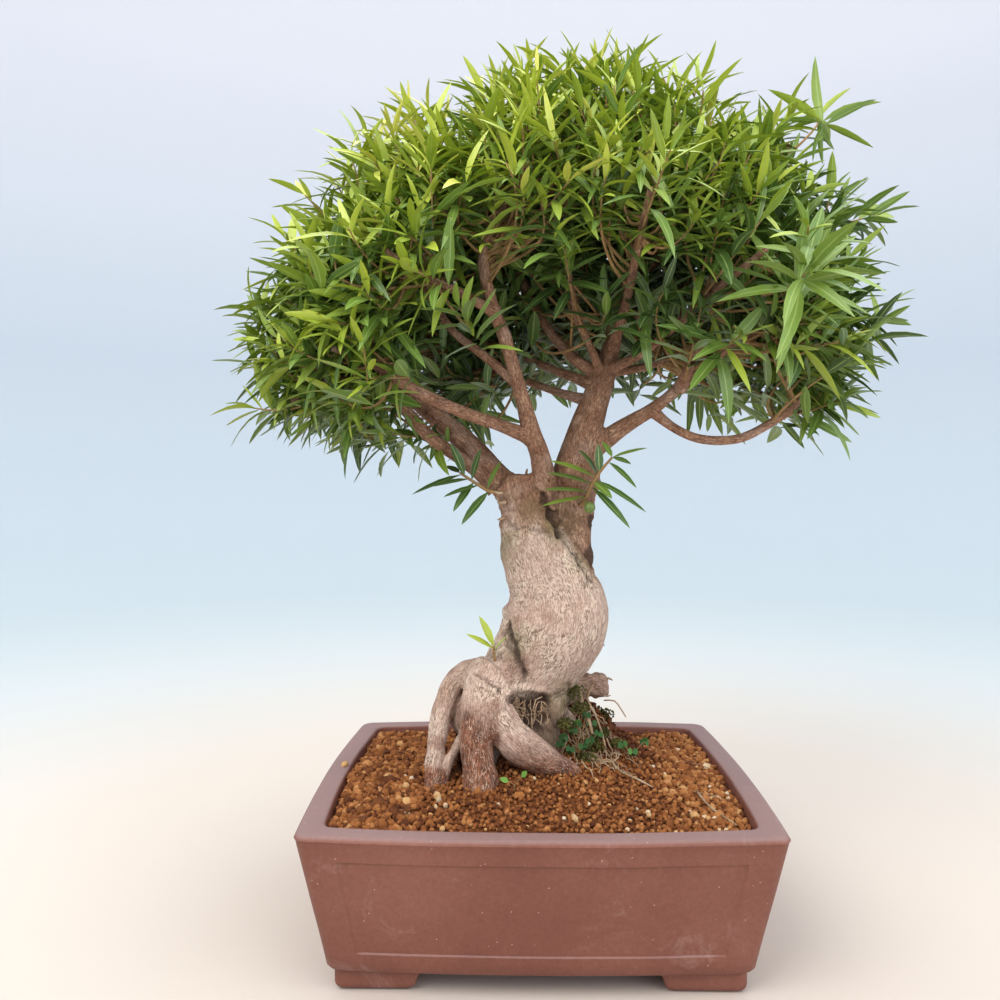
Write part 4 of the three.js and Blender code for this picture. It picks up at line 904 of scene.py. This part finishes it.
# Single rootlets, dry twigs and the stubs on the neck and the cut root
root_rows += [
    [(83, -22, 146, 1.3), (97, -38, 144, 1.2), (110, -52, 141, 0.9)],
    [(151, -57, 139, 1.1), (152, -76, 139, 1.2), (156, -98, 138, 1.1), (169, -133, 137, 0.7)],
    [(140, -40, 139, 0.6), (150, -56, 138, 0.6), (170, -64, 137, 0.4)],
    [(155, 33, 138, 0.6), (171, 24, 138, 0.5), (185, 4, 137, 0.4)],
    [(-122, -112, 140, 1.5), (-117, -118, 140.5, 1.6), (-112, -121, 140, 1.0)],
    [(70, 12, 208, 0.8), (80, 6, 209, 0.8), (86, 2, 202, 0.7), (91, 0, 194, 0.6)],
    [(59, 10, 226, 1.4), (52, 4, 212, 1.6), (60, 2, 196, 1.3), (66, -2, 180, 1.2), (70, -8, 164, 1.0)],
    [(44, 6, 222, 2.2), (46, -2, 208, 2.6), (52, -6, 196, 2.0), (56, -12, 180, 1.4)],
    [(-46, -61, 188, 0.8), (-50, -74, 176, 0.8), (-47, -84, 160, 0.7), (-49, -88, 150, 0.6)],
    [(-30, -8, 412, 2.2), (-36, -12, 411, 1.6), (-39, -13, 412, 0.7)],
    [(-30, -6, 396, 2.0), (-36, -9, 395, 1.3), (-39, -10, 394, 0.6)],
    [(-34, -10, 421, 2.0), (-39, -13, 421, 1.4), (-41, -14, 423, 0.6)],
    [(-10, -8, 434, 1.8), (-10, -9, 442, 1.3), (-9, -9, 445, 0.7)],
    [(-3, -10, 434, 1.5), (-3, -11, 441, 1.0), (-2, -11, 444, 0.6)],
    [(58, 0, 271, 1.8), (66, -1, 269, 1.1), (69, -2, 267, 0.5)],
    [(64, 26, 226, 2.0), (76, 24, 228, 1.2), (80, 23, 226, 0.6)],
    [(62, 24, 212, 1.8), (74, 22, 210, 1.1), (78, 22, 211, 0.5)],
]
rootlets = mesh_object("rootlets", *joined([loft(tube(smooth_path(rows, 2), 5)) for rows in root_rows]))
rootlets.data.materials.append(mottled_material(
    "rootlet", (0.85, 0.2), (70.0, 900.0),
    [(0.32, (0.13, 0.07, 0.035)), (0.5, (0.34, 0.22, 0.13)), (0.68, (0.6, 0.47, 0.32))], (0.4, 0.0005)))
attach(rootlets, "root")
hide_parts("tree")

# Foliage
# Narrow leathery leaves, most of 33 to 60 mm, on thin brown twigs: young and lime at the shoots'
# tips, with painted shade making them darker inside and low down, and painted light making them
# lighter towards the upper left. Each spray is one piece: its twigs fork from the branch end, and every
# leaf is a thin closed blade, folded along its midrib and arched.
BLADE_STATIONS = np.array([0.07, 0.24, 0.45, 0.68, 0.88])
LANCE = np.array([0.24, 0.8, 1.0, 0.84, 0.45])
MIDRIB_THICKNESS, TWIG_THICK, TWIG_THIN, TWIG_POINTS = 0.7, 1.7, 0.7, 5
LEAF_LENGTHS, PALE_LENGTHS, WIDTH_SHARES = (33, 60), (56, 74), (0.14, 0.22)
LEAFY_LENGTHS, LEAF_COUNTS, LEAF_TURN = (40, 64), (12, 19), 2.4


def blades(base, heading, upper, length, width, droop, outline=LANCE, fold=0.2, curl=None):
    """Closed leaf blades, one for each row. The midrib runs from base along heading, drops from
    the straight line by droop times the square of the share, and bends aside by curl times the
    same; the two edges stand off it by the outline's share of half the width, and rise above it
    by the fold."""
    heading = unit(heading)
    side = unit(np.cross(heading, upper))
    face = np.cross(side, heading)
    t = np.concatenate([[0], BLADE_STATIONS, [1]])[None, :, None]
    size = length[:, None, None]
    curl = np.zeros(len(base)) if curl is None else curl
    bend = curl[:, None] * side - droop[:, None] * face
    middle = base[:, None] + size * (t * heading[:, None] + t**2 * bend[:, None])
    reach = (outline * width[:, None] / 2)[..., None]
    inner = middle[:, 1:-1]
    up = face[:, None] * (fold * reach)
    rings = np.stack([inner + reach * side[:, None] + up, inner, inner - reach * side[:, None] + up,
                      inner - MIDRIB_THICKNESS * face[:, None]], axis=2)
    count, steps = rings.shape[:2]
    points = np.concatenate([rings.reshape(count, -1, 3), middle[:, [0, -1]]], axis=1)
    quads, tris = ring_faces(steps, 4)
    first = points.shape[1] * np.arange(count)[:, None, None]
    across = np.concatenate([np.tile([1, 0.5, 0, 0.5], steps), [0.5, 0.5]])
    down = np.concatenate([np.repeat(BLADE_STATIONS, 4), [0, 1]])
    places = np.tile(np.stack([across, down], axis=-1), (count, 1))
    faces = [(quads + first).reshape(-1, 4), (tris + first).reshape(-1, 3)]
    return points.reshape(-1, 3), faces, places


CROWN_MIDDLE = np.array([27.0, 15.0, 560.0])
CROWN_SIDE, CROWN_FRONT, CROWN_BACK, CROWN_TOP, CROWN_UNDER = 352.0, 222.0, 252.0, 322.0, 125.0
SHOOT_STEP = 30.5


def crown_share(points):
    """How far out each point lies in the crown, 1 on its skin: the superellipse of its offsets
    over the crown's half sizes, wider but rounder on the left, fuller on the right, shallow
    below, with the skin moved in and out by a soft noise."""
    offset = points - CROWN_MIDDLE
    half = np.column_stack([np.where(offset[:, 0] < 0, CROWN_SIDE + 10, CROWN_SIDE - 10),
                            np.where(offset[:, 1] < 0, CROWN_FRONT, CROWN_BACK),
                            np.where(offset[:, 2] < 0, CROWN_UNDER, CROWN_TOP)])
    power = 1.88 + 0.22 * ramp(offset[:, 0], -120, 160)
    share = (np.abs(offset / half) ** power[:, None]).sum(axis=1) ** (1 / power)
    return share * (1 + 0.07 * soft_noise(points, 84, 12) + 0.055 * soft_noise(points, 42, 20))


def under_arch(points):
    """Height of the arch that the crown leaves open below: it falls from its peak with the square
    of the way along X, and in front with the fourth power of the way to the left. The peak
    stands higher in front than at the back."""
    front = ramp(-points[:, 1], -110, 110)
    way = (points[:, 0] - 60 + 35 * front) / 150
    way = np.where(way > 0, 0.6 * way, way)
    fall = way**2 + front * (way < 0) * ((0.9 * way) ** 4 - way**2)
    return 556 + 90 * front - (90 + 40 * front) * fall


# Whorls that hang into the arch in front, and the one with long pale leaves on the right
HANGING_TIPS = [(63, -62, 604), (143, -70, 588), (112, -96, 604), (22, -104, 640), (-70, -118, 584)]
PALE_TIP = (212, -168, 600)

# Shoots stand on a loose grid: dense in the crown's skin, sparse inside and thinner low down
rng = np.random.default_rng(29)
axes_1d = [np.arange(low, high, SHOOT_STEP) for low, high in ((-330, 400), (-250, 275), (430, 890))]
tips = np.stack(np.meshgrid(*axes_1d, indexing="ij"), axis=-1).reshape(-1, 3)
tips = tips + rng.uniform(-0.48, 0.48, tips.shape) * SHOOT_STEP
out = crown_share(tips)
inner_chance = np.where((tips[:, 1] > 30) | (tips[:, 2] > 730), 0.3, 0.03)
chance = np.where(out > 0.76, 0.92, np.where(out > 0.6, 0.5, inner_chance))
chance *= 1 - 0.4 * ramp(-tips[:, 2], -560, -480)
tips = tips[(out < 0.88) & (tips[:, 2] > under_arch(tips) + 24) & (rng.random(len(tips)) < chance)]
spray_names = list(SPRAYS)
spray_places = np.array([SPRAYS[name] for name in spray_names], float)
outwards = unit(spray_places - CROWN_MIDDLE)
spray_tips = [spray_places + 38 * outwards, spray_places + (0, 0, 30)]
tips = np.concatenate([tips, *spray_tips, HANGING_TIPS, [PALE_TIP]])
out = crown_share(tips)
owner = np.linalg.norm(tips[:, None] - spray_places, axis=2).argmin(axis=1)
radial = unit((tips - CROWN_MIDDLE + (0, 0, 70)) / (CROWN_SIDE, CROWN_FRONT, CROWN_TOP))
aim = unit(radial + (0, 0, 0.3) + 0.42 * rng.normal(size=tips.shape))
leafy_length = rng.uniform(*LEAFY_LENGTHS, len(tips))
leaf_counts = rng.integers(*LEAF_COUNTS, len(tips))
aim[-1] = unit(np.array([-0.15, -1.0, 0.15]))

# Leaves wind up each shoot from its base, order 0, to its tip, order 1, and close in on its axis
shoot = np.repeat(np.arange(len(tips)), leaf_counts)
order = np.concatenate([np.arange(count) / (count - 1) for count in leaf_counts])
turn = LEAF_TURN * np.arange(len(shoot)) + rng.uniform(-0.4, 0.4, len(shoot))
first_axis = unit(np.cross(aim, rng.normal(size=aim.shape)))
second_axis = np.cross(aim, first_axis)
tilt = np.radians(70 - 48 * order**1.5 + rng.uniform(-12, 12, len(shoot)))
around = np.cos(turn)[:, None] * first_axis[shoot] + np.sin(turn)[:, None] * second_axis[shoot]
heading = unit(np.cos(tilt)[:, None] * aim[shoot] + np.sin(tilt)[:, None] * around)
base = tips[shoot] - aim[shoot] * (leafy_length[shoot] * (1 - order))[:, None]
upper = unit(aim[shoot] * 0.6 + (0, 0, 0.8) + 0.3 * rng.normal(size=heading.shape))
length = rng.uniform(*LEAF_LENGTHS, len(shoot)) * (1 - 0.28 * order**3)
width = length * rng.uniform(*WIDTH_SHARES, len(shoot))
droop = rng.uniform(0.02, 0.42, len(shoot))
curl = rng.uniform(-0.24, 0.24, len(shoot))
# Tone runs from dark green at 0 to lime at 1: young leaves are lime, and painted light and shade move it as
# below
young = ramp(order, 0.3, 0.95) * ramp(out[shoot], 0.6, 0.86)
# Painted light: sunny is how far a shoot faces the lamps at the upper left front, and it lightens the tone
sunny = ramp(radial[shoot] @ unit(np.array([-0.45, -0.35, 0.75])), -0.4, 0.85)
high = ramp(tips[shoot, 2], 600, 800)
tone = 0.24 + 0.3 * sunny + 0.3 * young * (0.3 + 0.7 * np.maximum(sunny, 0.8 * high))
# Painted shade: leaves low down and deep inside the crown are darker
tone *= (0.8 + 0.2 * high) * (0.5 + 0.5 * ramp(out[shoot], 0.4, 0.84))
tone += rng.normal(0, 0.13, len(shoot))
# Painted light: the low leaves on the right and the high leaves on the left are lighter
tone += 0.2 * ramp(tips[shoot, 0], 110, 230) * ramp(-tips[shoot, 2], -660, -540)
tone += 0.13 * ramp(-tips[shoot, 0], -40, 160) * high
width *= 1.12 - 0.36 * sunny * high
droop *= 1 + 0.6 * sunny
tone = np.clip(tone, 0.02, 1)
pale = shoot == len(tips) - 1
length[pale] = rng.uniform(*PALE_LENGTHS, pale.sum())
width[pale] = length[pale] * 0.17
tone[pale] = 0.47

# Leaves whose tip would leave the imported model's box are left out
leaf_side = unit(np.cross(heading, upper))
leaf_face = np.cross(leaf_side, heading)
tip_point = base + length[:, None] * (heading - droop[:, None] * leaf_face + curl[:, None] * leaf_side)
BOX_MARGIN = 3
box_low = (np.array(cad_box[0]) - HOME) / MM + BOX_MARGIN
box_high = (np.array(cad_box[1]) - HOME) / MM - BOX_MARGIN
fits = ((tip_point > box_low) & (tip_point < box_high)).all(axis=1)

leaf, shader, nodes = new_material("leaf", 0.36, 0.5)
clouds = mottle(nodes, 60.0, 500.0)
cloud_tone = map_range(nodes, clouds["Cloud"], to_min=-0.09, to_max=0.09)
blade_tone = math(nodes, "ADD", cloud_tone, node(nodes, "Attribute", attribute_name="tone")["Fac"])
green = colour_ramp(nodes, blade_tone, [
    (0.0, (0.024, 0.052, 0.016)), (0.22, (0.055, 0.115, 0.025)), (0.45, (0.14, 0.23, 0.03)),
    (0.68, (0.32, 0.395, 0.03)), (0.88, (0.46, 0.51, 0.045)), (1.0, (0.6, 0.56, 0.1))])
blade = node(nodes, "SeparateXYZ", {"Vector": node(nodes, "UVMap", uv_map="blade")["UV"]})
off_middle = math(nodes, "ABSOLUTE", math(nodes, "SUBTRACT", blade["X"], 0.5))
down = math(nodes, "SUBTRACT", blade["Y"], math(nodes, "MULTIPLY", off_middle, 0.55))
veins = math(nodes, "SINE", math(nodes, "MULTIPLY", down, 120.0))
vein_mask = map_range(nodes, veins, from_min=0.3, to_max=0.14)
margin = colour_ramp(nodes, off_middle, [(0.42, 0), (0.5, 0.28)])
midrib = colour_ramp(nodes, off_middle, [(0.0, 0.75), (0.03, 0.6), (0.075, 0)])
for above, mask in (((0.3, 0.42, 0.1, 1), vein_mask), ((0.4, 0.5, 0.12, 1), margin),
                    ((0.36, 0.46, 0.13, 1), midrib)):
    green = layer(nodes, green, above, mask)
fill(shader, {"Base Color": green})
add_bump(nodes, shader, veins, 0.15, 0.0004)
twig_bark = mottled_material("twig_bark", (0.8, 0.3), (120.0, 900.0), [
    (0.3, (0.17, 0.085, 0.035)), (0.55, (0.34, 0.2, 0.08)), (0.75, (0.46, 0.33, 0.15))], (0.5, 0.0006))


def leafy_piece(name, leaf_part, leaf_tone, twig_parts, blade_material=leaf):
    """One piece of blades and twigs: leaves in the first material slot, twigs in the second."""
    points, faces = joined([leaf_part[:2]] + twig_parts)
    piece = mesh_object(name, points, faces, sharp=60)
    for material in (blade_material, twig_bark):
        piece.data.materials.append(material)
    blade_points = len(leaf_part[0])
    uv = np.zeros((len(points), 2))
    uv[:blade_points] = leaf_part[2]
    corners = np.zeros(len(piece.data.loops), np.int32)
    piece.data.loops.foreach_get("vertex_index", corners)
    blade_layer = piece.data.uv_layers.new(name="blade")
    blade_layer.data.foreach_set("uv", uv[corners].astype(np.float32).ravel())
    starts = np.zeros(len(piece.data.polygons), np.int32)
    piece.data.polygons.foreach_get("loop_start", starts)
    of_twig = (corners[starts] >= blade_points).astype(np.int32)
    piece.data.polygons.foreach_set("material_index", of_twig)
    values = np.zeros(len(points))
    values[:blade_points] = np.repeat(leaf_tone, blade_points // len(leaf_tone))
    point_values(piece, "tone", values)
    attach(piece, "root")
    return piece


def twig_paths(start, knee, end):
    """Bent twigs: the quadratic curve from start by knee to end, thinning as it goes."""
    t = np.linspace(0, 1, 9)[None, :, None]
    curve = (1 - t) ** 2 * start[:, None] + 2 * t * (1 - t) * knee[:, None] + t**2 * end[:, None]
    radius = np.broadcast_to(TWIG_THICK + (TWIG_THIN - TWIG_THICK) * t, (*curve.shape[:2], 1))
    return np.concatenate([curve, radius], axis=2)


for number, name in enumerate(spray_names):
    mine = np.flatnonzero(owner == number)
    chosen = np.flatnonzero((owner[shoot] == number) & fits)
    blade_part = blades(base[chosen], heading[chosen], upper[chosen], length[chosen], width[chosen],
                        droop[chosen], curl=curl[chosen])
    limb = limb_paths[name]
    start = limb[-3 - rng.integers(0, 12, len(mine)), :3]
    knee = tips[mine] - aim[mine] * (leafy_length[mine] * 1.25)[:, None]
    twigs = [loft(tube(path, TWIG_POINTS)) for path in twig_paths(start, knee, tips[mine])]
    piece = leafy_piece(f"leaves_{name}", blade_part, tone[chosen], twigs)
    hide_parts(f"foliage_{name}")

# Shoots on bare wood
# Two leafy shoots stand off the neck below the crown, one low on the trunk, and a single unripe
# fig hangs on the right-hand one. Rows give the share of the stem where a leaf starts, its tip,
# its width and its tone.
SHOOTS = {
    "sprig_left": (
        [[-34, -8, 421, 2.0], [-47, -15, 423, 1.8], [-62, -17, 432, 1.6], [-76, -16, 441, 1.2]],
        [(0.95, (-123, -22, 419), 9, 0.2), (0.8, (-101, -32, 427), 8, 0.15), (0.55, (-90, -36, 417), 8, 0.2),
         (0.66, (-82, -26, 403), 10, 0.25), (0.36, (-74, -24, 390), 11, 0.22), (1, (-91, -10, 448), 9, 0.15),
         (0.9, (-84, -24, 470), 12, 0.1), (0.7, (-56, -26, 465), 8, 0.12), (0.4, (-36, -26, 453), 8, 0.42)]),
    "sprig_right": (
        [[41, -4, 404, 2.2], [48, -20, 415, 2.0], [54, -28, 430, 1.7], [62, -31, 443, 1.5],
         [73, -30, 456, 1.1]],
        [(0.62, (12, -46, 452), 11, 0.5), (0.52, (10, -46, 440), 10, 0.3), (0.36, (6, -42, 424), 8, 0.35),
         (0.3, (5, -38, 408), 7, 0.5), (0.66, (41, -42, 463), 13, 0.1), (0.72, (59, -38, 468), 9, 0.12),
         (0.56, (71, -42, 416), 11, 0.42), (0.44, (90, -36, 387), 11, 0.22), (0.6, (106, -34, 402), 10, 0.2),
         (0.9, (97, -32, 426), 10, 0.28), (0.98, (64, -24, 472), 7, 0.4), (1, (90, -38, 449), 9, 0.25),
         (1, (108, -28, 465), 6, 0.45)]),
    "shoot_low": (
        [[-36, -22, 253, 1.6], [-41, -34, 259, 1.4], [-42, -40, 273, 1.1]],
        [(1, (-55, -46, 303), 9, 0.78), (0.94, (-68, -48, 286), 8, 0.8), (0.8, (-31, -50, 284), 5, 0.75)]),
}
for name, (stem, leaves) in SHOOTS.items():
    path = smooth_path(stem, 6)
    shares, leaf_tips, widths, tones = (np.array(column, float) for column in zip(*leaves))
    start = path[np.round(shares * (len(path) - 1)).astype(int), :3]
    reach = leaf_tips - start
    span = np.linalg.norm(reach, axis=1)
    sag = np.full(len(span), 0.1)
    lifted = reach + np.array([0, 0, 0.1]) * span[:, None]
    part = blades(start, lifted, np.tile([0, -0.55, 1.0], (len(span), 1)), span, widths, sag)
    piece = leafy_piece(f"{name}_leaves", part, tones, [loft(tube(path, 8))])
    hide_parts(name)

fig_angle = np.linspace(0.06, np.pi - 0.06, 22)
fig_axis = unit(np.array([0.3, -0.75, -0.6]))
fig_middle = np.array([51, -31.5, 407.2])
fig_radius = 5.5 * np.sin(fig_angle) * (1 - 0.12 * np.cos(fig_angle))
fig_radius[-3:] *= (0.97, 0.9, 0.6)
fig_line = fig_middle - 5.4 * np.cos(fig_angle)[:, None] * fig_axis
fig_path = np.column_stack([fig_line, fig_radius])
fig_stalk = smooth_path([[47.6, -21, 413.5, 0.9], [49, -25, 411.5, 0.9], [50.5, -28.5, 409.5, 1.2]], 5)
fig = mesh_object("fig_fruit", *joined([loft(tube(fig_path, 28)), loft(tube(fig_stalk, 8))]), sharp=70)
fig.data.materials.append(mottled_material("fig_skin", (0.45, 0.5), (160.0, 1400.0), [
    (0.3, (0.075, 0.12, 0.025)), (0.55, (0.14, 0.2, 0.04)), (0.72, (0.32, 0.36, 0.14))], (0.2, 0.0004)))
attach(fig, "root")
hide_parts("fig")

# Weeds
# Clover on the earth mound and a seedling between the roots, self-sown. Thin stems fork from one
# root to each leaf, and a clover leaf is three rounded leaflets on one point. Rows give the root's
# place, the number of leaflets, their length, their greenness and the leaves' places.
LEAFLET = np.array([0.35, 0.7, 0.95, 1.0, 0.75])
WEEDS = {
    "clover": ((43, -8), 3, 5.4, 0.3, [(27, -19, 179), (41, -13, 191), (54, -15, 174), (56, -8, 189),
                                       (36, -14, 184), (24, -16, 171), (47, -14, 168), (62, -6, 178),
                                       (33, -18, 166), (50, -8, 198)]),
    "clover_right": ((98, 5), 3, 5.6, 0.4, [(88, -2, 166), (111, 8, 167), (97, -6, 160)]),
    "seedling": ((-22, -82), 1, 9.0, 0.75, [(-13, -84, 163), (-32, -84, 159)]),
}
STEM_POINTS = 6
weed_leaf, shader, nodes = new_material("weed_leaf", 0.65, 0.15)
weed_green = colour_ramp(nodes, node(nodes, "Attribute", attribute_name="tone")["Fac"], [
    (0.0, (0.016, 0.04, 0.012)), (0.35, (0.042, 0.105, 0.03)), (0.8, (0.17, 0.34, 0.06)),
    (1.0, (0.4, 0.5, 0.1))])
fill(shader, {"Base Color": weed_green})
add_bump(nodes, shader, mottle(nodes, 90.0, 700.0)["Height"], 0.3, 0.0004)
rng = np.random.default_rng(5)
for name, (root, leaflets, reach, greenness, middles) in WEEDS.items():
    ground = soil_height(root)
    fork = np.array([*root, ground + 3])
    stems = [loft(tube(smooth_path([[*root, ground - 5, 0.8], [*fork, 0.7]], 4), STEM_POINTS))]
    starts, headings = [], []
    for middle in np.array(middles, float):
        half_way = (fork + middle) / 2 + (0, 0, 0.1 * (middle[2] - fork[2]))
        stem = smooth_path([[*fork, 0.5], [*half_way, 0.45], [*middle, 0.4]], 4)
        stems.append(loft(tube(stem, STEM_POINTS)))
        turns = 2 * np.pi * np.arange(leaflets) / leaflets + rng.uniform(0, 2)
        if leaflets == 1:
            turns = np.array([1.1 if middle[0] > root[0] else np.pi - 0.5])
            middle = middle - np.array([0.6 * reach * np.cos(turns[0]), 0, 2])
        starts.append(np.tile(middle, (leaflets, 1)))
        headings.append(np.column_stack([np.cos(turns), -0.5 * np.sin(turns), 0.8 * np.sin(turns)]))
    starts, headings = np.concatenate(starts), np.concatenate(headings)
    count = len(starts)
    part = blades(starts, headings, np.tile([0, -0.8, 0.6], (count, 1)), np.full(count, reach),
                  np.full(count, reach * (1.25 if leaflets > 1 else 0.6)), np.full(count, 0.1),
                  outline=LEAFLET if leaflets > 1 else LANCE, fold=0.12)
    piece = leafy_piece(f"{name}_leaves", part, rng.normal(greenness, 0.1, count).clip(0.05, 1), stems,
                        blade_material=weed_leaf)
    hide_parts(name)

# Moss
# Cushions of moss on the mound, on the trunk's right foot and between the roots, grown in place.
# Each is a heap of tiny green tufts round its middle.
CUSHIONS = [((58, 0, 164), 9), ((50, -12, 156), 8), ((72, 32, 188), 9), ((38, -2, 220), 11),
            ((66, 8, 176), 8), ((-70, -34, 172), 8), ((-64, -30, 158), 7), ((44, -10, 206), 8),
            ((30, -18, 192), 8), ((84, 12, 164), 7)]
TUFTS, CUSHION_SHAPE = 170, (1.3, 0.8, 0.8)
rng = np.random.default_rng(23)
tuft_places = np.concatenate([middle + radius * unit_ball(rng, TUFTS) * CUSHION_SHAPE
                              for middle, radius in CUSHIONS])
tuft_sizes = rng.uniform(0.5, 1.3, len(tuft_places))
moss = mesh_object("moss", *lumps(rng, tuft_places, tuft_sizes, roughness=0.5), sharp=40)
moss.data.materials.append(mottled_material("moss", (0.95, 0.15), (80.0, 1200.0), [
    (0.34, (0.022, 0.024, 0.008)), (0.5, (0.075, 0.075, 0.018)), (0.66, (0.17, 0.165, 0.04))], (0.5, 0.0006)))
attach(moss, "root")
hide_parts("soil")

# Studio
# A pale floor that curves up into a wall all round, lit by large soft lamps, and a camera
# at eye level in front of the trunk. The paper's colour paints light and shade along its sweep.
profile = np.array([(0.01, 0), (1.2, 0), (1.9, 0.01), (2.5, 0.08), (3.0, 0.3), (3.35, 0.7), (3.55, 1.3),
                    (3.6, 2.2), (3.6, 4.2)])
bowl_profile = smooth_path(profile, 6)
BOWL_POINTS = 72
bowl_turn = full_turn(BOWL_POINTS)
bowl_rings = np.stack([bowl_profile[:, :1] * np.cos(bowl_turn), bowl_profile[:, :1] * np.sin(bowl_turn),
                       np.repeat(bowl_profile[:, 1:], BOWL_POINTS, axis=1)], axis=-1)
bowl_quads, _ = ring_faces(len(bowl_profile), BOWL_POINTS)
studio = mesh_object("studio_floor", (bowl_rings.reshape(-1, 3) - HOME) / MM,
                     [bowl_quads[:, ::-1], np.arange(BOWL_POINTS)[None, :]])
bowl_run = run_of(bowl_profile)
point_values(studio, "sweep", np.repeat(bowl_run / bowl_run[-1], BOWL_POINTS))
paper, shader, nodes = new_material("studio_paper", 0.95, 0.1)
sweep = node(nodes, "Attribute", attribute_name="sweep")["Fac"]
# Painted light and shade: warm near the pot, a pale cyan shade further out and up the wall, and near white at
# the top
fill(shader, {"Base Color": colour_ramp(nodes, sweep, [
    (0.0, (0.59, 0.505, 0.44)), (0.09, (0.59, 0.525, 0.46)), (0.2, (0.56, 0.59, 0.585)),
    (0.35, (0.54, 0.61, 0.635)), (0.55, (0.545, 0.59, 0.64)), (0.75, (0.8, 0.79, 0.82)),
    (1.0, (0.95, 0.9, 0.9))])})
studio.data.materials.append(paper)

world = bpy.context.scene.world or bpy.data.worlds.new("world")
bpy.context.scene.world = world
world.use_nodes = True
fill(world.node_tree.nodes["Background"], {"Color": (0.86, 0.92, 1.0, 1), "Strength": 1.1})


def aimed(thing, place, target):
    """Puts a lamp or camera at its place, turned so that its own -Z looks at the target."""
    holder = bpy.data.objects.new(thing.name, thing)
    bpy.context.scene.collection.objects.link(holder)
    holder.location = np.array(place) * MM + HOME
    look = Vector((np.array(target, float) - place) * MM)
    holder.rotation_euler = look.to_track_quat("-Z", "Y").to_euler()
    return holder


# Place, size in metres, power in watts and colour of each lamp
LAMPS = {
    "key_lamp": ((-1300, -1500, 2200), 1.8, 60.0, (1.0, 0.98, 0.94)),
    "fill_lamp": ((1700, -1500, 1300), 2.2, 36.0, (0.94, 0.97, 1.0)),
    "top_lamp": ((100, 300, 2600), 2.4, 40.0, (0.97, 0.99, 1.0)),
}
LIT_PLACE = (0, 0, 400)
for name, (place, size, power, colour) in LAMPS.items():
    lamp = bpy.data.lights.new(name, "AREA")
    lamp.size, lamp.energy, lamp.color = size, power, colour
    aimed(lamp, place, LIT_PLACE)

LENS_PIXELS, FRAME_PIXELS, SENSOR_WIDTH = 870.0, 1000.0, 36.0
camera = bpy.data.cameras.new("camera")
camera.sensor_width = SENSOR_WIDTH
camera.lens = LENS_PIXELS / FRAME_PIXELS * SENSOR_WIDTH
camera.clip_start, camera.clip_end = 0.02, 30
# The picture's middle lies 13 pixels left of the way straight on and 17 below it
EYE, LOOK = np.array([-23.4, -878.0, 431.0]), (-13, LENS_PIXELS, -17)
bpy.context.scene.camera = aimed(camera, EYE, EYE + LOOK)
bpy.context.scene.view_settings.view_transform = "Standard"
